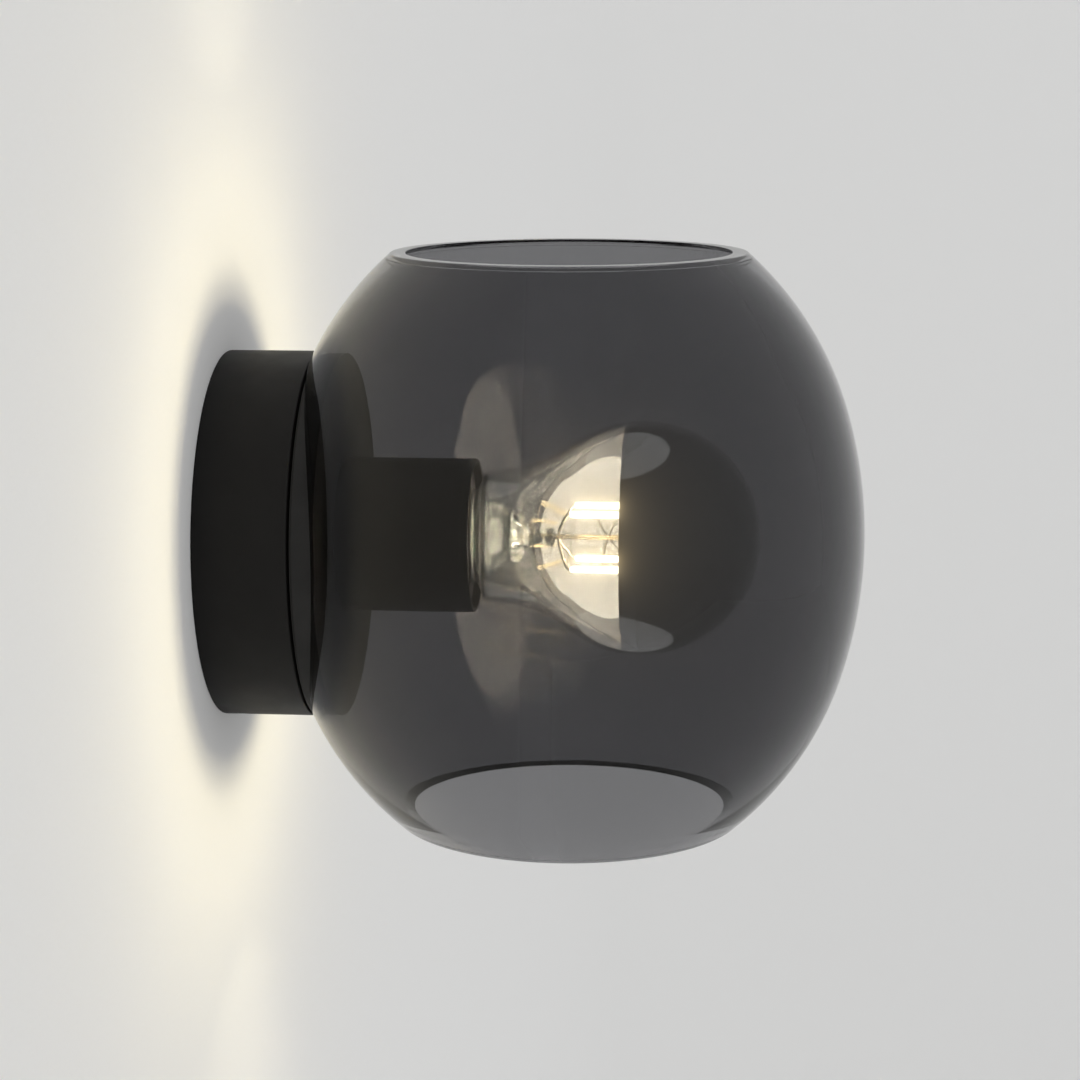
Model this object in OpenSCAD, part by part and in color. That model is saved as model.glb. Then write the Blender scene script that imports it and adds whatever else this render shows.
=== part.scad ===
// Globe wall sconce: an open smoked glass globe on a round black canopy, with a mirror-crown lamp.
// The part's frame has its origin on the wall, at the centre of the canopy's back face.
// +Z points up and the sconce stands out from the wall towards -Y. Millimetres.

/* [Glass shade] */
// Largest outside diameter of the globe
glass_d = 160; // [140:1:190]
// Height of the globe between its two cut rims
glass_h = 155; // [135:1:165]
// Inside diameter of the top and bottom mouths
mouth_d = 87; // [70:1:100]
// Width of the flat ground rim
rim_w = 4.2; // [2.5:0.1:6]
// Wall of the globe at its middle
glass_wall = 1; // [0.8:0.1:2]
// Radius of the belly arc of the outline
belly_r = 123; // [110:1:160]
// Height of the belly band, where the shoulder arcs begin
belly_h = 71; // [50:1:90]
// How far the side hole's edge stays back from the disc's front, at the globe's middle
glass_seat = 0.9; // [0.5:0.1:1.5]

/* [Canopy] */
// Outside diameter of the canopy cup, the front disc and the round side hole's seat
canopy_d = 100; // [90:1:110]
// Depth of the canopy cup, from the wall to the shadow gap
cup_depth = 25; // [22:0.5:35]
// Wall of the canopy cup
cup_wall = 2.5; // [2:0.1:3]
// Thickness of the cup's front
cup_front = 2.5; // [2:0.1:3.5]
// Small bevel on the cup's front edge
cup_bevel = 0.4; // [0.2:0.1:0.6]
// Width of the dark line between the cup and the front disc
shadow_gap = 0.7; // [0.5:0.1:1.5]
// How far the shadow gap goes in from the canopy's side
shadow_depth = 3.5; // [2:0.1:4]

/* [Front disc] */
// Depth of the front disc that carries the globe
disc_h = 6.5; // [6.2:0.1:9]
// Thickness of the disc's face
disc_face = 2; // [1.8:0.1:2.4]
// Wall of the disc's rim, under the sleeve
disc_wall = 2.5; // [2:0.1:3.5]
// Thickness of the silicone sleeve under the glass
sleeve_t = 0.8; // [0.5:0.1:1.2]
// Width of the two lips that keep the sleeve in place
sleeve_lip = 0.5; // [0.3:0.1:0.8]
// Radius of the circle of the three screws that join the cup to the disc
joint_screw_r = 36; // [33:0.5:38]
// Radius of the disc's screw bosses
boss_r = 4.2; // [3.6:0.1:5]

/* [Glass clips] */
// Angle of each clip above or below the level line
clip_angle = 60; // [55:1:65]
// Width of a clip
clip_w = 6; // [5:0.5:8]
// Thickness of a clip
clip_t = 0.8; // [0.6:0.1:1]
// Radius at which a clip begins
clip_in_r = 37.5; // [36:0.5:39]
// How far a clip reaches past the disc's side, over the glass
clip_reach = 1.2; // [1:0.1:1.5]
// Radius of the circle of the clip screws
clip_screw_at = 41; // [40:0.5:42.5]
// Radius of a clip screw
clip_screw_r = 1.4; // [1.2:0.1:1.6]
// Radius of a clip screw's head
clip_head_r = 2.7; // [2.2:0.1:3]
// Height of a clip screw's head
clip_head_h = 1.6; // [1.2:0.1:1.8]

/* [Wall bracket] */
// Thickness of the pressed steel bracket
plate_t = 1.2; // [1:0.1:2]
// Height of the bracket's turned edge
flange_h = 9; // [8:0.5:12]
// Radius of the cable hole in the middle
cable_hole_r = 10; // [8:0.5:12]
// Distance between the two wall screws
slot_spacing = 60; // [56:1:64]
// Width of a wall screw slot
slot_w = 4.5; // [4:0.1:5.5]
// Length of a wall screw slot from end to end
slot_l = 12; // [8:0.5:14]

/* [Terminal block] */
// Distance between two poles of the block
pole_pitch = 9.4; // [8.5:0.1:10]
// Height of the block
block_h = 13.5; // [12:0.5:15]
// Depth of the block, out from the bracket
block_depth = 12; // [11:0.5:13]
// Side wall of the block past the outer poles
block_side = 4.6; // [4:0.1:5]
// Height of the block's lower edge over the canopy's middle
block_low = 26.5; // [26:0.5:27]
// Outside radius of a brass pole sleeve
pole_r = 2.6; // [2.2:0.1:2.8]
// Radius of the wire hole of a pole sleeve
pole_bore_r = 1.7; // [1.4:0.1:1.9]
// Distance between the two clamp screws of a pole
clamp_pitch = 6.6; // [6:0.1:7.5]
// Radius of a clamp screw
clamp_r = 1.6; // [1.3:0.1:1.8]

/* [Lamp holder] */
// Outside diameter of the black sleeve
sleeve_d = 42; // [40:0.5:46]
// Wall of the sleeve
sleeve_wall = 1.2; // [1:0.1:1.4]
// Distance from the wall to the sleeve's front rim
sleeve_front = 68.2; // [66:0.1:72]
// Width of the sleeve's flange, out from the tube
sleeve_flange = 3; // [2:0.1:4]
// Gap between the holder's barrel and the sleeve
barrel_gap = 0.5; // [0.4:0.1:0.8]
// Width of the holder's shoulder behind the cup's front
shoulder_w = 3.2; // [2:0.1:4]
// Thickness of the holder's shoulder
shoulder_t = 3; // [2:0.1:4]
// How far the barrel stays back from the sleeve's rim
barrel_back = 2.2; // [1.5:0.1:3]
// Wall round the holder's rear hollow
rear_wall = 4.3; // [3.3:0.1:4.8]
// Thickness of the floor that carries the contacts
floor_t = 4; // [3:0.1:5]
// Thickness of the fixing ring
ring_t = 3.4; // [2.5:0.1:3.4]
// Width of the fixing ring's rim
ring_w = 5.5; // [4:0.1:6.5]
// Number of notches in the fixing ring
ring_notches = 8; // [4:1:12]
// Thickness of the screw shell
shell_t = 0.55; // [0.4:0.05:0.65]

/* [Lamp] */
// Diameter of the glass bulb
bulb_d = 64; // [60:1:65]
// Whole length of the lamp with its cap
lamp_length = 105; // [104:0.5:108]
// Radius of the bulb's neck
neck_r = 12.5; // [12.2:0.1:12.6]
// Radius of the bulb's waist in front of the cap
waist_r = 18; // [17:0.5:18.5]
// Radius of the hollow curve from the waist to the ball
neck_curve_r = 38; // [35:1:40]
// Wall of the bulb
bulb_wall = 0.8; // [0.6:0.1:1]
// How far the mirror reaches back past the ball's widest circle
mirror_back = 4.6; // [0:0.1:10]
// Thickness of the mirror coat as drawn
mirror_t = 0.25; // [0.2:0.05:0.4]
// Length of a filament
filament_l = 30; // [24:1:34]
// Radius of a filament
filament_r = 0.9; // [0.7:0.1:1.2]
// Distance of each filament from the lamp's middle plane, both ways
filament_side = 7.5; // [6:0.1:9]

/* [Lamp cap] */
// Largest radius of the cap's thread
thread_r = 13.2; // [13:0.05:13.2]
// Depth of the cap's thread
thread_depth = 1.1; // [0.8:0.1:1.2]
// Advance of the thread in one turn
thread_pitch = 3.629; // [3.5:0.001:3.7]
// Number of thread ridges drawn on the cap
thread_turns = 4; // [3:1:4]
// Length of the cap with its contact
cap_length = 27; // [26.5:0.1:27.5]
// Thickness of the cap's sheet
cap_sheet = 0.4; // [0.3:0.05:0.5]
// Length of the plain skirt next to the glass
skirt_l = 5; // [4.5:0.1:5.5]

/* [Leads] */
// Outside diameter of a lead
lead_d = 2.2; // [1.8:0.1:2.4]

/* [Hidden] */

// Smoothness of the turned surfaces
$fn = 120;
// How far every cut runs past the face it starts from
overrun = 1;
// Gap between a rigid piece and the piece that it slips into
slip = 0.3;
// Gap between a screw and its hole
screw_gap = 0.1;
// Gap between the fixed holder and a threaded or stacked neighbour
seat_gap = 0.15;

// Places along the canopy's axis, measured out from the wall
canopy_r = canopy_d / 2;
cup_in_r = canopy_r - cup_wall;
cup_inside_d = cup_depth - cup_front;
disc_back_d = cup_depth + shadow_gap;
disc_front_d = disc_back_d + disc_h;
disc_under_d = disc_front_d - disc_face;

// The globe's outline: a belly arc and a shoulder arc that meets it without a corner
glass_r = glass_d / 2;
belly_centre_r = glass_r - belly_r;
belly_angle = asin(belly_h / 2 / belly_r);
belly_normal = [cos(belly_angle), sin(belly_angle)];
rim_outer = [mouth_d / 2 + rim_w, glass_h / 2];
rim_inner = [mouth_d / 2, glass_h / 2];
glass_hole_r = canopy_r + slip;
globe_axis_d = disc_front_d - glass_seat + sqrt(pow(glass_r, 2) - pow(glass_hole_r, 2));
belly_steps = 3;
shoulder_steps = 5;
globe_sides = 72;

// Joint screws between the cup and the disc, which reach a little way into the disc's face
joint_r = 1.9;
joint_head_r = 3.6;
joint_head_h = 2.4;
joint_tip_gap = 0.5;
joint_bite = 0.5;
joint_hole_d = disc_under_d + joint_bite;

// Wall bracket and what is fixed to it
flange_r = cup_in_r - slip;
earth_at = [20, -26];
earth_r = 1.9;
earth_head_r = 3.5;
earth_head_h = 2.2;
lug_r = 4;
lug_t = 0.8;
lug_barrel_r = 1.9;
lug_barrel_l = 7;
lug_end_up = earth_at[1] + lug_r + lug_barrel_l;
lug_axis_d = plate_t + lug_barrel_r;

// Terminal block
block_front_d = plate_t + block_depth;
block_half = pole_pitch + block_side;
block_mid_up = block_low + block_h / 2;
pole_axis_d = plate_t + block_depth / 2;
pole_inset = 0.8;
clamp_low_d = pole_axis_d + pole_r + screw_gap;
clamp_top_d = block_front_d - pole_inset;
clamp_slot_w = 0.7;
clamp_slot_h = 0.8;
block_screw_r = 1.4;
block_head_r = 2.5;
block_head_h = 1.6;

// Grub screws under the cup
grub_r = 1.95;
grub_angle = 15;
grub_d = flange_h / 2;
grub_inset = 0.3;
grub_socket_r = 1.15;
grub_socket_h = 1.2;

// Clips that hold the glass on the disc
clip_low_d = disc_under_d - clip_t * 2;
clip_pad_r = 3;
clip_slot_gap = 0.3;
clip_tip_gap = 0.5;
clip_head_d = clip_low_d - clip_head_h;

// Lamp and holder, set from the lamp's length and the sleeve's rim
bulb_r = bulb_d / 2;
skirt_inset = 0.6;
skirt_end_d = sleeve_front - skirt_inset;
tip_d = skirt_end_d - cap_length;
lamp_end_d = tip_d + lamp_length;
ball_d = lamp_end_d - bulb_r;
sleeve_r = sleeve_d / 2;
sleeve_in_r = sleeve_r - sleeve_wall;
barrel_r = sleeve_in_r - barrel_gap;
rear_hollow_r = barrel_r - rear_wall;
barrel_front_d = sleeve_front - barrel_back;
cup_hole_r = barrel_r + seat_gap;
shoulder_back_d = cup_inside_d - shoulder_t;
contact_gap = 0.2;
contact_t = 0.5;
contact_rise = 1.8;
contact_w = 6;
contact_reach = 8.5;
contact_flat = 2.5;
contact_top_d = tip_d - contact_gap;
floor_front_d = contact_top_d - contact_rise - contact_t;
floor_back_d = floor_front_d - floor_t;
shell_in_r = thread_r + slip;
shell_r = shell_in_r + shell_t;
barrel_bore_r = shell_r + seat_gap;
shell_inset = 1.5;
shell_lip_r = 10;
ring_r = cup_hole_r + ring_w;
ring_front_d = cup_depth + ring_t;
flange_t = disc_under_d - ring_front_d - seat_gap * 2;
flange_back_d = ring_front_d + seat_gap;
notch_w = 4;
notch_depth = 2;
spacer_in_r = ring_r + slip;

// Brass terminals on the holder's floor
term_x = 7;
term_w = 5.5;
term_tall = 10.4;
term_deep = 6;
term_back_d = floor_back_d - term_deep;
term_row = 2.6;
term_screw_r = 1.4;
term_head_r = 2.2;
term_head_h = 1.4;
term_bore_l = 4.4;

// Lamp cap
skirt_r = neck_r + screw_gap + cap_sheet;
thread_low_d = skirt_end_d - skirt_l - thread_pitch * thread_turns;
thread_mid_r = thread_r - thread_depth / 2;
thread_steps = 12;
cap_end_r = 10.4;
cap_end_step = 0.65;
cap_end_d = thread_low_d - cap_end_step;
cap_inner_r = thread_r - thread_depth - cap_sheet;
insulator_tip_r = 4.8;
insulator_t = 1.2;
contact_r = 4;
contact_h = 1.1;
contact_dome = 0.5;

// Glass bulb: a short flare out of the cap, then the hollow curve, which touches the ball
curve_centre_r = waist_r + neck_curve_r;
curve_centre_d = ball_d - sqrt(pow(bulb_r + neck_curve_r, 2) - pow(curve_centre_r, 2));
curve_angle = atan2(curve_centre_d - ball_d, curve_centre_r);
curve_steps = 8;
ball_steps = 25;
neck_start_d = skirt_end_d - skirt_l + 2 * cap_sheet + slip;
neck_end_d = skirt_end_d + slip;
flare_l = curve_centre_d - neck_end_d;
flare_shift = 0.7;
flare_steps = 6;
mirror_gap = 0.05;
mirror_edge_d = ball_d - mirror_back;

// Glass stem inside the neck
stem_flare_r = neck_r - bulb_wall - slip;
stem_tube_r = 6.9;
stem_tip_r = 2.5;
stem_wall = 0.9;
stem_low_d = neck_start_d + 2 * slip;
stem_foot_h = 6.5;
stem_flare_h = 6;
stem_tube_h = 2.2;
stem_cone_h = 4;
stem_tip_h = 7.3;
stem_foot_d = stem_low_d + stem_foot_h;
stem_tube_d = stem_foot_d + stem_flare_h;
stem_cone_d = stem_tube_d + stem_tube_h;
stem_neck_d = stem_cone_d + stem_cone_h;
stem_top_d = stem_neck_d + stem_tip_h;

// Filaments stand between a lower and an upper cross of wires
wire_r = 0.35;
pin_r = 0.55;
filament_foot = 4;
filament_low_d = stem_top_d + filament_foot;
filament_top_d = filament_low_d + filament_l;
hub_r = 1.1;
hub_h = 2.4;

// Driver inside the cap
board_gap = 0.3;
board_r = cap_inner_r - board_gap;
board_t = 1.2;
board_d = thread_low_d + thread_pitch;
capacitor_r = 3.2;
capacitor_h = 8;
capacitor_x = 5;
chip_w = 5;
chip_t = 1.6;
coil_r = 2.4;
coil_h = 5;
coil_up = 6;

// Leads: how far each one runs straight out of its terminal before it bends
lead_r = lead_d / 2;
lead_gap = 0.1;
lead_sides = 8;
lead_rings = 24;
lead_run_share = 0.62;
lead_dive_share = 0.7;

// Turns a shape drawn as (x, up, out from the wall) into the part's frame
module outward() {
    rotate([90, 0, 0]) children();
}

// A ring or a disc on the canopy's axis, between two distances from the wall
module collar(r_out, r_in, from_d, to_d) {
    outward() translate([0, 0, from_d]) difference() {
        cylinder(r = r_out, h = to_d - from_d);
        translate([0, 0, -overrun]) cylinder(r = r_in, h = to_d - from_d + 2 * overrun);
    }
}

// A straight peg along the canopy's axis direction, at (x, up)
module peg(at, r, from_d, to_d) {
    outward() translate([at[0], at[1], from_d]) cylinder(r = r, h = to_d - from_d, $fn = 48);
}

// Where joint screw number i stands, as (x, up)
function joint_at(i) = joint_screw_r * [cos(90 + 120 * i), sin(90 + 120 * i)];

// Places a shape on a grub screw's axis, pointing out through the underside of the cup
module grub_place(side) {
    outward() translate([0, 0, grub_d]) rotate([0, 0, -90 + side * grub_angle]) rotate([0, 90, 0]) children();
}

// Radius of the arc that leaves point p square to normal n and ends at point q
function arc_to(p, n, q) = -((q - p) * (q - p)) / (2 * ((q - p) * n));

// Points along an arc, from one angle to another
function arc(centre, r, from, to, steps) =
    [for (i = [0 : steps]) let (a = from + (to - from) * i / steps) centre + r * [cos(a), sin(a)]];

// Upper half of the globe's outline in (radius, height): the belly arc, then the shoulder arc up to a rim
function globe_curve(wall, rim) =
    let (
        r = belly_r - wall,
        meet = [belly_centre_r + r * belly_normal[0], r * belly_normal[1]],
        shoulder = arc_to(meet, belly_normal, rim),
        centre = meet - shoulder * belly_normal,
        rim_angle = atan2(rim[1] - centre[1], rim[0] - centre[0]),
        belly = arc([belly_centre_r, 0], r, 0, belly_angle, belly_steps),
        rest = arc(centre, shoulder, belly_angle, rim_angle, shoulder_steps)
    )
    concat(belly, [for (i = [1 : shoulder_steps]) rest[i]]);

// The same outline from the bottom rim to the top rim
function globe_outline(wall, rim) =
    let (upper = globe_curve(wall, rim), last = len(upper) - 1)
    concat([for (i = [last : -1 : 1]) [upper[i][0], -upper[i][1]]], upper);

// The bulb's outline in (radius, distance from the wall), shrunk by a wall thickness: the straight neck,
// the flare, the hollow curve and the ball, up to the pole
function bulb_curve(inset) =
    let (
        flare = [
            for (i = [0 : flare_steps]) let (t = i / flare_steps) [
                neck_r - inset + (waist_r - neck_r) * (1 - cos(180 * t)) / 2,
                neck_end_d + inset * flare_shift + flare_l * t
            ]
        ],
        hollow = arc([curve_centre_r, curve_centre_d], neck_curve_r + inset, 180, 180 + curve_angle, curve_steps),
        ball = arc([0, ball_d], bulb_r - inset, curve_angle, 90, ball_steps)
    )
    concat(
        [[neck_r - inset, neck_start_d]],
        flare,
        [for (i = [1 : curve_steps]) hollow[i]],
        [for (i = [1 : ball_steps - 1]) ball[i]],
        [[0, ball_d + bulb_r - inset]]
    );

// A round lead along a cubic curve given by four control points
function curve_at(p, t) = pow(1 - t, 3) * p[0] + 3 * pow(1 - t, 2) * t * p[1]
    + 3 * (1 - t) * t * t * p[2] + t * t * t * p[3];
function unit(v) = v / norm(v);
function curve_dir(p, t) = unit(pow(1 - t, 2) * (p[1] - p[0]) + 2 * (1 - t) * t * (p[2] - p[1])
    + t * t * (p[3] - p[2]));

module lead(p) {
    side_ref = [1, 0, 0];
    last = lead_rings * lead_sides;
    points = [
        for (i = [0 : lead_rings], k = [0 : lead_sides - 1])
            let (t = i / lead_rings, dir = curve_dir(p, t), u = unit(cross(dir, side_ref)), v = cross(dir, u))
            curve_at(p, t) + lead_r * (cos(360 * k / lead_sides) * u + sin(360 * k / lead_sides) * v)
    ];
    walls = [
        for (i = [0 : lead_rings - 1], k = [0 : lead_sides - 1])
            let (a = i * lead_sides + k, b = i * lead_sides + (k + 1) % lead_sides)
            each [[a, a + lead_sides, b], [b, a + lead_sides, b + lead_sides]]
    ];
    ends = [
        [for (k = [0 : lead_sides - 1]) k],
        [for (k = [lead_sides - 1 : -1 : 0]) last + k]
    ];
    outward() polyhedron(points, concat(walls, ends), convexity = 4);
}

module wall_bracket() {
    color("silver") difference() {
        union() {
            collar(flange_r, cable_hole_r, 0, plate_t);
            collar(flange_r, flange_r - plate_t, 0, flange_h);
        }
        for (side = [-1, 1]) {
            for (end = [-1, 1])
                peg([side * slot_spacing / 2 + end * (slot_l - slot_w) / 2, 0], slot_w / 2,
                    -overrun, plate_t + overrun);
            outward() translate([side * slot_spacing / 2 - (slot_l - slot_w) / 2, -slot_w / 2, -overrun])
                cube([slot_l - slot_w, slot_w, plate_t + 2 * overrun]);
        }
        peg(earth_at, earth_r + screw_gap, -overrun, plate_t + overrun);
        for (side = [-1, 1])
            peg([side * pole_pitch / 2, block_mid_up], block_screw_r + screw_gap,
                -overrun, plate_t + overrun);
    }
}

module terminal_block() {
    color("ivory") difference() {
        outward() translate([-block_half, block_low, plate_t])
            cube([2 * block_half, block_h, block_depth]);
        for (pole = [-1 : 1]) {
            outward() translate([pole * pole_pitch, block_low - overrun, pole_axis_d]) rotate([-90, 0, 0])
                cylinder(r = pole_r + screw_gap, h = block_h + 2 * overrun, $fn = 48);
            for (end = [-1, 1])
                peg([pole * pole_pitch, block_mid_up + end * clamp_pitch / 2], clamp_r + screw_gap,
                    pole_axis_d, block_front_d + overrun);
        }
        for (side = [-1, 1])
            peg([side * pole_pitch / 2, block_mid_up], block_screw_r + screw_gap, 0, block_front_d + overrun);
    }
}

module pole_sleeves() {
    color("goldenrod") for (pole = [-1 : 1])
        outward() translate([pole * pole_pitch, block_low + pole_inset, pole_axis_d]) rotate([-90, 0, 0])
            difference() {
                cylinder(r = pole_r, h = block_h - 2 * pole_inset, $fn = 48);
                translate([0, 0, -overrun])
                    cylinder(r = pole_bore_r, h = block_h + 2 * overrun, $fn = 48);
            }
}

module clamp_screws() {
    color("silver") for (pole = [-1 : 1], end = [-1, 1]) {
        at = [pole * pole_pitch, block_mid_up + end * clamp_pitch / 2];
        difference() {
            peg(at, clamp_r, clamp_low_d, clamp_top_d);
            outward() translate([at[0] - clamp_slot_w / 2, at[1] - clamp_pitch / 2,
                                 clamp_top_d - clamp_slot_h])
                cube([clamp_slot_w, clamp_pitch, clamp_slot_h + overrun]);
        }
    }
}

module block_screws() {
    color("silver") for (side = [-1, 1]) {
        at = [side * pole_pitch / 2, block_mid_up];
        peg(at, block_screw_r, screw_gap, block_front_d);
        difference() {
            peg(at, block_head_r, block_front_d, block_front_d + block_head_h);
            outward() translate([at[0] - clamp_slot_w / 2, at[1] - block_h / 2,
                                 block_front_d + block_head_h - clamp_slot_h])
                cube([clamp_slot_w, block_h, clamp_slot_h + overrun]);
        }
    }
}

module earth_lug() {
    color("goldenrod") difference() {
        union() {
            peg(earth_at, lug_r, plate_t, plate_t + lug_t);
            outward() translate([earth_at[0] - lug_barrel_r, earth_at[1], plate_t])
                cube([2 * lug_barrel_r, lug_r + lug_barrel_l / 2, lug_t]);
            outward() translate([earth_at[0], earth_at[1] + lug_r, lug_axis_d]) rotate([-90, 0, 0])
                cylinder(r = lug_barrel_r, h = lug_barrel_l, $fn = 48);
        }
        peg(earth_at, earth_r + screw_gap, 0, plate_t + lug_t + overrun);
        outward() translate([earth_at[0], lug_end_up - lug_barrel_l / 2, lug_axis_d]) rotate([-90, 0, 0])
            cylinder(r = lead_r / 2, h = lug_barrel_l, $fn = 48);
    }
}

module earth_screw() {
    head_d = plate_t + lug_t;
    color("silver") difference() {
        union() {
            peg(earth_at, earth_r, screw_gap, head_d);
            peg(earth_at, earth_head_r, head_d, head_d + earth_head_h);
        }
        for (turn = [0, 90])
            outward() translate([earth_at[0], earth_at[1], head_d + earth_head_h]) rotate([0, 0, turn])
                cube([clamp_slot_w, 2 * earth_r, 2 * clamp_slot_h], center = true);
    }
}

// Control points of a lead from a pole of the block to a brass terminal of the holder
function holder_lead(pole_x, to_x) =
    let (from = [pole_x, block_low - lead_gap, pole_axis_d], to = [to_x, term_row, term_back_d - lead_gap])
    [
        from,
        from - [0, (from[1] - to[1]) * lead_run_share, 0],
        to - [0, 0, (to[2] - from[2]) * lead_dive_share],
        to
    ];

module live_lead() {
    color("saddlebrown") lead(holder_lead(-pole_pitch, -term_x));
}

module neutral_lead() {
    color("royalblue") lead(holder_lead(0, term_x));
}

module earth_lead() {
    from = [pole_pitch, block_low - lead_gap, pole_axis_d];
    to = [earth_at[0], lug_end_up + lead_gap, lug_axis_d];
    run = (from[1] - to[1]) * lead_run_share;
    color("yellowgreen") lead([from, from - [0, run, 0], to + [0, run, 0], to]);
}

module canopy_cup() {
    color([0.06, 0.055, 0.05]) difference() {
        outward() rotate_extrude() polygon([
            [cup_in_r, 0], [canopy_r, 0],
            [canopy_r, cup_depth - cup_bevel], [canopy_r - cup_bevel, cup_depth],
            [cup_hole_r, cup_depth], [cup_hole_r, cup_inside_d], [cup_in_r, cup_inside_d]
        ]);
        for (i = [0 : 2])
            peg(joint_at(i), joint_r + screw_gap, cup_inside_d - overrun, cup_depth + overrun);
        for (side = [-1, 1])
            grub_place(side) cylinder(r = grub_r + screw_gap, h = canopy_d, $fn = 48);
    }
}

module canopy_grub_screws() {
    color("dimgray") for (side = [-1, 1]) grub_place(side) difference() {
        translate([0, 0, flange_r + screw_gap])
            cylinder(r = grub_r, h = canopy_r - grub_inset - flange_r - screw_gap, $fn = 48);
        translate([0, 0, canopy_r - grub_inset - grub_socket_h])
            cylinder(r = grub_socket_r, h = grub_socket_h + overrun, $fn = 6);
    }
}

module gap_spacer() {
    color([0.02, 0.02, 0.02]) difference() {
        collar(canopy_r - shadow_depth, spacer_in_r, cup_depth, disc_back_d);
        for (i = [0 : 2])
            peg(joint_at(i), joint_r + screw_gap, cup_depth - overrun, disc_back_d + overrun);
    }
}

// Places a shape on each clip's line, with x pointing out along the disc's radius
module each_clip() {
    for (side = [0, 180], lift = [-1, 1])
        outward() rotate([0, 0, side + lift * clip_angle]) children();
}

module front_disc() {
    sleeve_in = canopy_r - sleeve_t;
    color([0.06, 0.055, 0.05]) difference() {
        union() {
            outward() rotate_extrude() polygon([
                [sleeve_in - disc_wall, disc_back_d], [canopy_r, disc_back_d],
                [canopy_r, disc_back_d + sleeve_lip], [sleeve_in, disc_back_d + sleeve_lip],
                [sleeve_in, disc_front_d - sleeve_lip], [canopy_r, disc_front_d - sleeve_lip],
                [canopy_r, disc_front_d], [sleeve_r + seat_gap, disc_front_d],
                [sleeve_r + seat_gap, disc_under_d], [sleeve_in - disc_wall, disc_under_d]
            ]);
            for (i = [0 : 2]) peg(joint_at(i), boss_r, disc_back_d, disc_front_d - disc_face / 2);
            each_clip() translate([clip_screw_at, 0, clip_low_d + clip_t])
                cylinder(r = clip_pad_r, h = disc_face, $fn = 48);
        }
        for (i = [0 : 2])
            peg(joint_at(i), joint_r + screw_gap, disc_back_d - overrun, joint_hole_d);
        each_clip() translate([clip_screw_at, 0, clip_low_d])
            cylinder(r = clip_screw_r + screw_gap, h = clip_t + disc_face, $fn = 48);
        each_clip() translate([sleeve_in - disc_wall - overrun, -clip_w / 2 - clip_slot_gap,
                               clip_low_d - clip_slot_gap])
            cube([disc_wall + sleeve_t + 2 * overrun, clip_w + 2 * clip_slot_gap,
                  clip_t + 2 * clip_slot_gap]);
    }
}

module disc_screws() {
    color("silver") for (i = [0 : 2]) {
        peg(joint_at(i), joint_r, cup_inside_d, joint_hole_d - joint_tip_gap);
        difference() {
            peg(joint_at(i), joint_head_r, cup_inside_d - joint_head_h, cup_inside_d);
            for (turn = [0, 90])
                outward() translate([joint_at(i)[0], joint_at(i)[1], cup_inside_d - joint_head_h])
                    rotate([0, 0, turn]) cube([clamp_slot_w, 2 * joint_r, 2 * clamp_slot_h], center = true);
        }
    }
}

module glass_sleeve() {
    color([0.03, 0.03, 0.03]) difference() {
        collar(canopy_r, canopy_r - sleeve_t, disc_back_d + sleeve_lip, disc_front_d - sleeve_lip);
        each_clip() translate([canopy_r - sleeve_t - overrun, -clip_w / 2 - clip_slot_gap,
                               clip_low_d - clip_slot_gap])
            cube([sleeve_t + 2 * overrun, clip_w + 2 * clip_slot_gap, clip_t + 2 * clip_slot_gap]);
    }
}

module glass_clips() {
    color("dimgray") each_clip() difference() {
        translate([clip_in_r, -clip_w / 2, clip_low_d])
            cube([canopy_r + clip_reach - clip_in_r, clip_w, clip_t]);
        translate([clip_screw_at, 0, clip_low_d - overrun])
            cylinder(r = clip_screw_r + screw_gap, h = clip_t + 2 * overrun, $fn = 48);
    }
}

module clip_screws() {
    color("silver") each_clip() translate([clip_screw_at, 0, 0]) {
        translate([0, 0, clip_low_d])
            cylinder(r = clip_screw_r, h = clip_t + disc_face - clip_tip_gap, $fn = 48);
        difference() {
            translate([0, 0, clip_head_d]) cylinder(r = clip_head_r, h = clip_head_h, $fn = 48);
            for (turn = [0, 90]) translate([0, 0, clip_head_d]) rotate([0, 0, turn])
                cube([clamp_slot_w, 2 * clip_screw_r, 2 * clamp_slot_h], center = true);
        }
    }
}

module glass_shade() {
    outer = globe_outline(0, rim_outer);
    inner = globe_outline(glass_wall, rim_inner);
    color([0.2, 0.2, 0.21, 0.5]) resize([glass_d, 0, glass_h]) difference() {
        translate([0, -globe_axis_d, 0]) rotate_extrude($fn = globe_sides)
            polygon(concat(outer, [for (i = [len(inner) - 1 : -1 : 0]) inner[i]]));
        outward() cylinder(r = glass_hole_r, h = globe_axis_d, $fn = globe_sides);
    }
}

module holder_sleeve() {
    color([0.05, 0.05, 0.05]) outward() rotate_extrude() polygon([
        [sleeve_in_r, flange_back_d], [sleeve_r + sleeve_flange, flange_back_d],
        [sleeve_r + sleeve_flange, flange_back_d + flange_t], [sleeve_r, flange_back_d + flange_t],
        [sleeve_r, sleeve_front], [sleeve_in_r, sleeve_front]
    ]);
}

module lampholder_body() {
    color([0.1, 0.1, 0.1]) outward() rotate_extrude() polygon([
        [rear_hollow_r, shoulder_back_d], [barrel_r + shoulder_w, shoulder_back_d],
        [barrel_r + shoulder_w, cup_inside_d], [barrel_r, cup_inside_d], [barrel_r, barrel_front_d],
        [barrel_bore_r, barrel_front_d], [barrel_bore_r, floor_front_d], [0, floor_front_d],
        [0, floor_back_d], [rear_hollow_r, floor_back_d]
    ]);
}

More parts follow.
